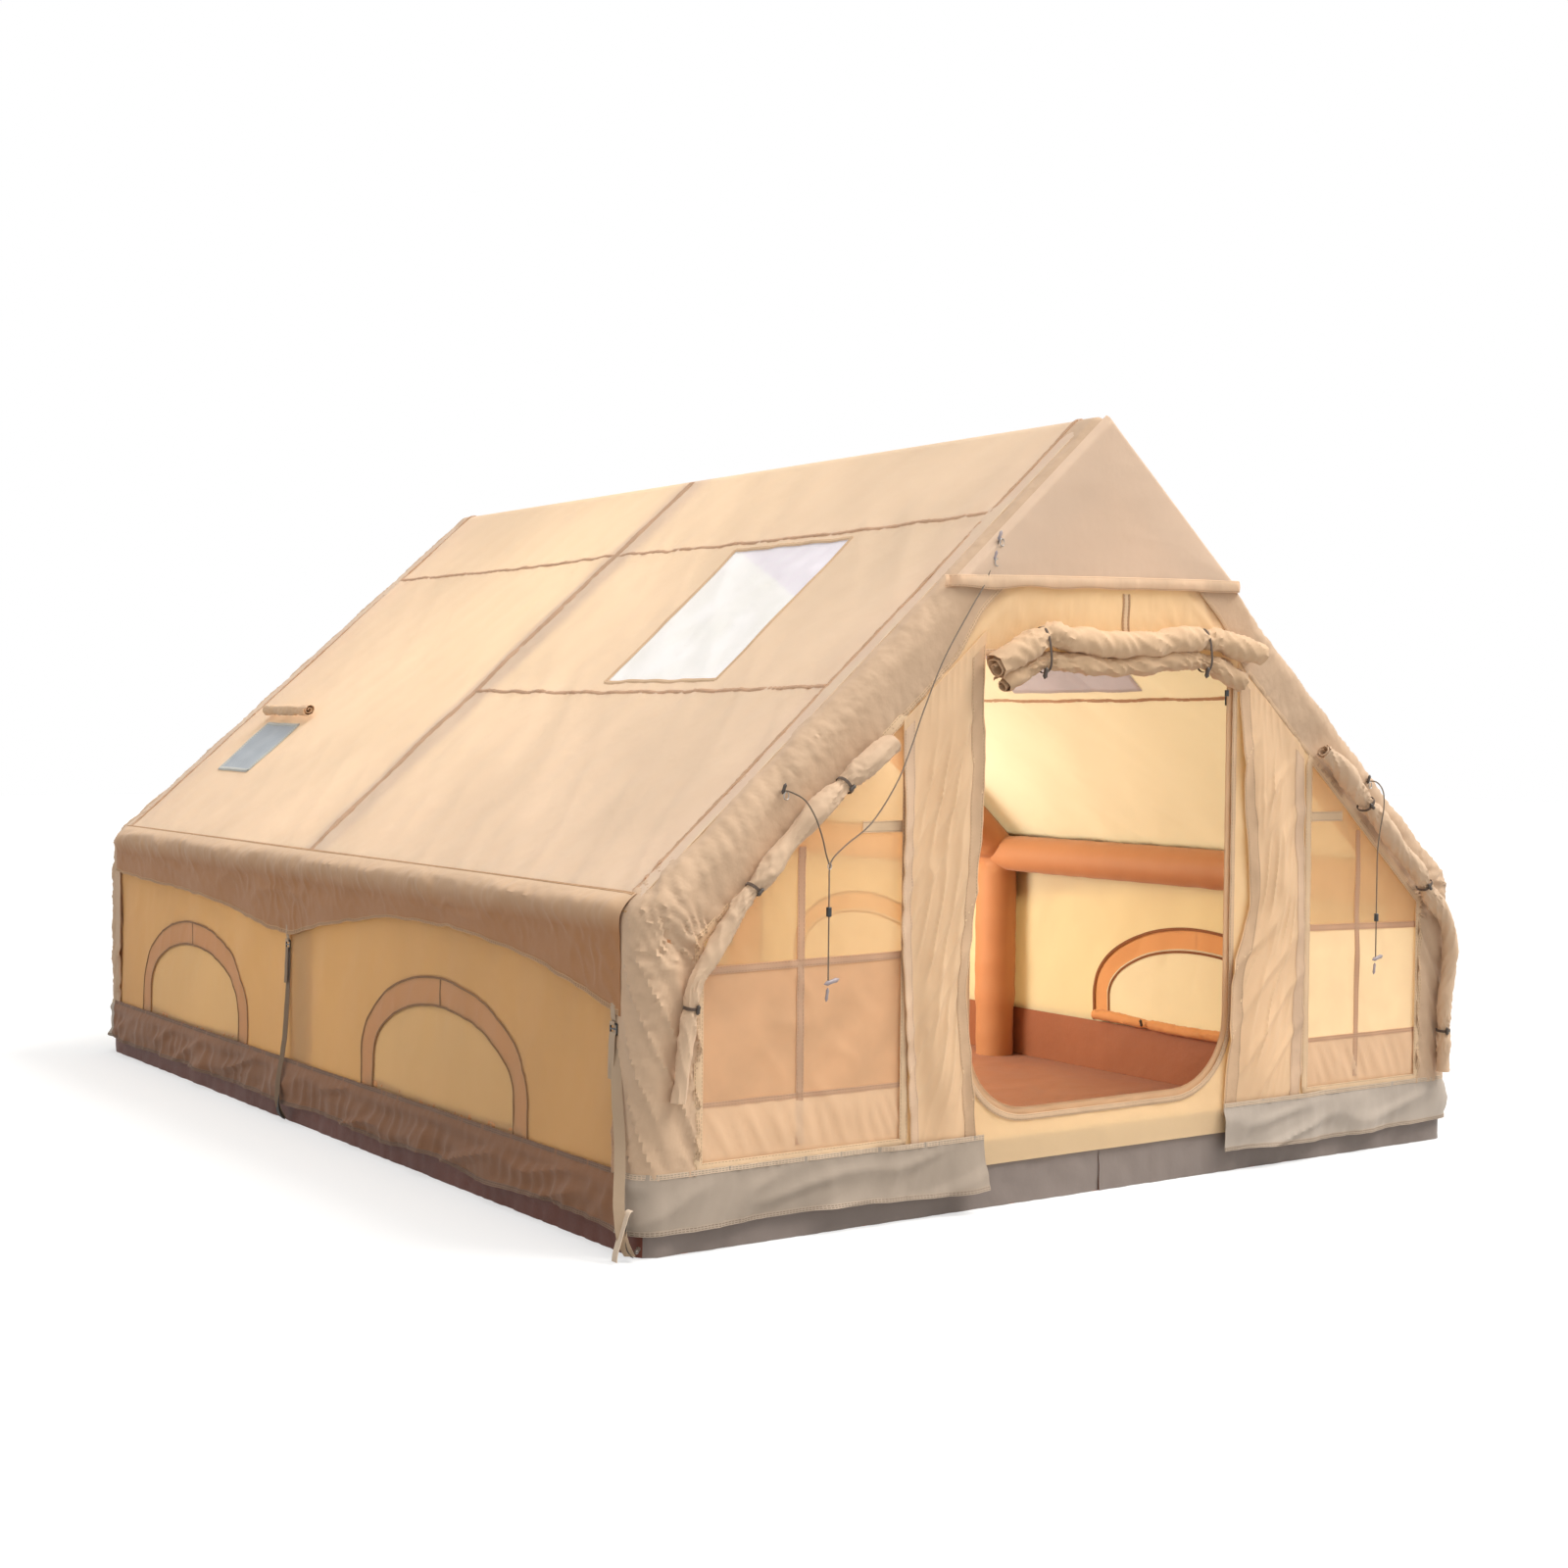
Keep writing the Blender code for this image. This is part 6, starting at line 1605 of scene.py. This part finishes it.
# %% [markdown]
# ## The stove-pipe patch
# A heat-proof square with a sewn border lies on the rear bay. Its rain flap is rolled up above it and held
# by two short ties.

# %% Stove patch
def slope_s(x):
    """Distance from the ridge of a place on a slope, x metres from the middle."""
    return ridge_arc + (x - ridge_reach * math.cos(pitch)) / math.cos(pitch)


patch_middle = slope_s(1.10)
patch_y, patch_half_y, patch_half_s = 1.49, 0.15, 0.135


def patch_place(u, v):
    y = patch_y + (2 * u - 1) * patch_half_y
    s = patch_middle + (2 * v - 1) * patch_half_s
    return roof_point(-1, y, s, 0.003 + 0.001 * folds(y, s, 0.12, 221))


patch = sheet_piece("stove_patch", patch_place, 50, 46, (0.30, 0.27), 0.0016)
dress(patch, patch_cloth, ("stove_jack",))
border = 0.012
end_y, end_s = patch_half_y - border / 2, patch_half_s - border / 2
for number, (a, b) in enumerate((((-1, -1), (1, -1)), ((-1, 1), (1, 1)),
                                 ((-1, -1), (-1, 1)), ((1, -1), (1, 1)))):
    start, end = ((patch_y + y * end_y, patch_middle + s * end_s) for y, s in (a, b))
    roof_strip(f"stove_border_{number}", -1, start, end, border * 1.6, 0.0062, patch_tape, 40)
roll_s = patch_middle - patch_half_s - 0.048


def flap_roll_place(u, v):
    along = (2 * u - 1) * 0.205
    near = np.minimum(np.abs(along - 0.11), np.abs(along + 0.11))
    angle = 2 * math.pi * 2.1 * v + 0.6 + 0.3 * np.sin(8 * along)
    reach = (0.006 + 0.019 * v) * (1 - 0.22 * hill(near, 0, 0.02))
    reach = reach + 0.003 * creases(along, angle * 0.025, 0.04, 223, lean=0.6) * fade(v, 0.3, 0.7) - 0.001
    x, z, nx, nz = house_line(-(roll_s + 0 * u))
    lift, shift = 0.024 + reach * np.sin(angle) * 0.85, reach * np.cos(angle)
    return x + nx * lift - math.cos(pitch) * shift, patch_y + along, z + nz * lift - math.sin(pitch) * shift


flap_roll = sheet_piece("stove_flap", flap_roll_place, 90, 60, (0.41, 0.24), 0.002)
dress(flap_roll, roll_cloth, ("stove_flap_roll",))
print("stove patch done")

# %% Guy lines
cord_piece("left_guy_line", left_route, 160, "guy_line_left", far_end="fitting",
           with_pieces=["guy_runner_left"])
cord_piece("left_guy_branch", branch_route, 60, "guy_branch_left", far_end="knot")
cord_piece("right_guy_line", right_route, 140, "guy_line_right", far_end="fitting",
           with_pieces=["guy_runner_right"])


def ring_piece(name, place, radius, wire):
    piece = added(bpy.ops.mesh.primitive_torus_add, major_radius=radius, minor_radius=wire, major_segments=40,
                  minor_segments=12, location=place, rotation=(math.pi / 2, 0.0, 0.3))
    piece.name = name
    bpy.ops.object.transform_apply(location=True, rotation=True, scale=True)
    smooth(piece, 60)
    dress(piece, steel)


ring_piece("guy_ring", (-1.0075, -2.083, 0.944), 0.0075, 0.0013)
for name, x, low in (("left", -1.008, 0.655), ("right", 1.040, 0.607)):
    toggle_piece(f"{name}_guy_end", (x + 0.010, -2.083, low), (1.0, 0.0, 0.25), 0.048, 0.0065,
                 finish=pale_plastic)
    toggle_piece(f"{name}_guy_hook", (x - 0.004, -2.083, low - 0.032), (0.15, 0.0, 1.0), 0.036, 0.0045,
                 finish=pale_plastic)
for name, x, z, finish in (("left_guy_anchor", -1.096, 1.136, toggle_plastic),
                           ("right_guy_anchor", 1.086, 1.146, toggle_plastic),
                           ("gable_guy_anchor", -0.402, 1.806, pale_plastic),
                           ("gable_guy_loop", -0.418, 1.752, pale_plastic)):
    toggle_piece(name, (x, -2.0075, z), (0.4, 0.0, 1.0), 0.030, 0.0050, finish=finish)
    ring_piece(f"{name}_ring", (x + 0.006, -2.009, z - 0.018), 0.010, 0.0014)

# %% [markdown]
# ## Light, floor and background
# A large soft lamp from above and behind the camera's right side stands for daylight. A second one inside
# gives the warm glow that cloth shows when the sun is on its far side.

# %% Stage
scene = bpy.context.scene
scene.view_settings.view_transform = "Standard"


def mix_direct(graph, hidden, seen, output):
    """One shader for camera, glossy and transmission rays, and another for the light that they don't show."""
    rays = graph.add("LightPath", {}).outputs
    first = graph.add("Math", {0: rays["Is Camera Ray"], 1: rays["Is Glossy Ray"]}, operation="MAXIMUM")
    both = graph.add("Math", {0: first.outputs[0], 1: rays["Is Transmission Ray"]}, operation="MAXIMUM")
    mix = graph.add("MixShader", {0: both.outputs[0], 1: hidden.outputs[0], 2: seen.outputs[0]})
    graph.fill(output, {"Surface": mix.outputs[0]})


sky = Graph(bpy.data.worlds.new("studio"))
scene.world = sky.owner
soft_light = sky.fill(sky.nodes["Background"], {"Color": (1.0, 0.985, 0.96, 1), "Strength": 0.58})
white = sky.add("Background", {"Color": (1, 1, 1, 1), "Strength": 1.0})
mix_direct(sky, soft_light, white, sky.nodes["World Output"])

ground = added(bpy.ops.mesh.primitive_plane_add, size=60, location=(0, 0, 0))
ground.name = "studio_floor"
base = Graph(bpy.data.materials.new("studio floor"))
base.fill(base.shader, {"Base Color": (0.45, 0.45, 0.45, 1), "Roughness": 1.0, "Specular IOR Level": 0.0})
lift = base.add("Emission", {"Color": (1, 1, 1, 1), "Strength": 0.58})
lit = base.add("AddShader", {0: base.shader.outputs[0], 1: lift.outputs[0]})
mix_direct(base, base.shader, lit, base.output)
ground.data.materials.append(base.owner)




def lamp(name, kind, place, target, power, size, colour):
    light = added(bpy.ops.object.light_add, type=kind, location=place)
    light.name = name
    light.rotation_euler = (Vector(target) - Vector(place)).to_track_quat("-Z", "Y").to_euler()
    light.data.energy, light.data.color = power, colour
    setattr(light.data, "angle" if kind == "SUN" else "shadow_soft_size", size)
    return light


lamp("daylight", "SUN", (4.2, -2.6, 7.0), (0, 0, 0), 2.4, 0.5, (1.0, 0.97, 0.92))
lamp("overhead", "SUN", (0.0, -2.6, 7.0), (0, 0, 0), 1.0, 0.9, (1.0, 0.99, 0.98))
glow = lamp("glow", "POINT", (0.15, 0.4, 0.75), (0.1, 0.3, 0), 70, 0.35, (1.0, 0.96, 0.84))
glow.visible_camera = False
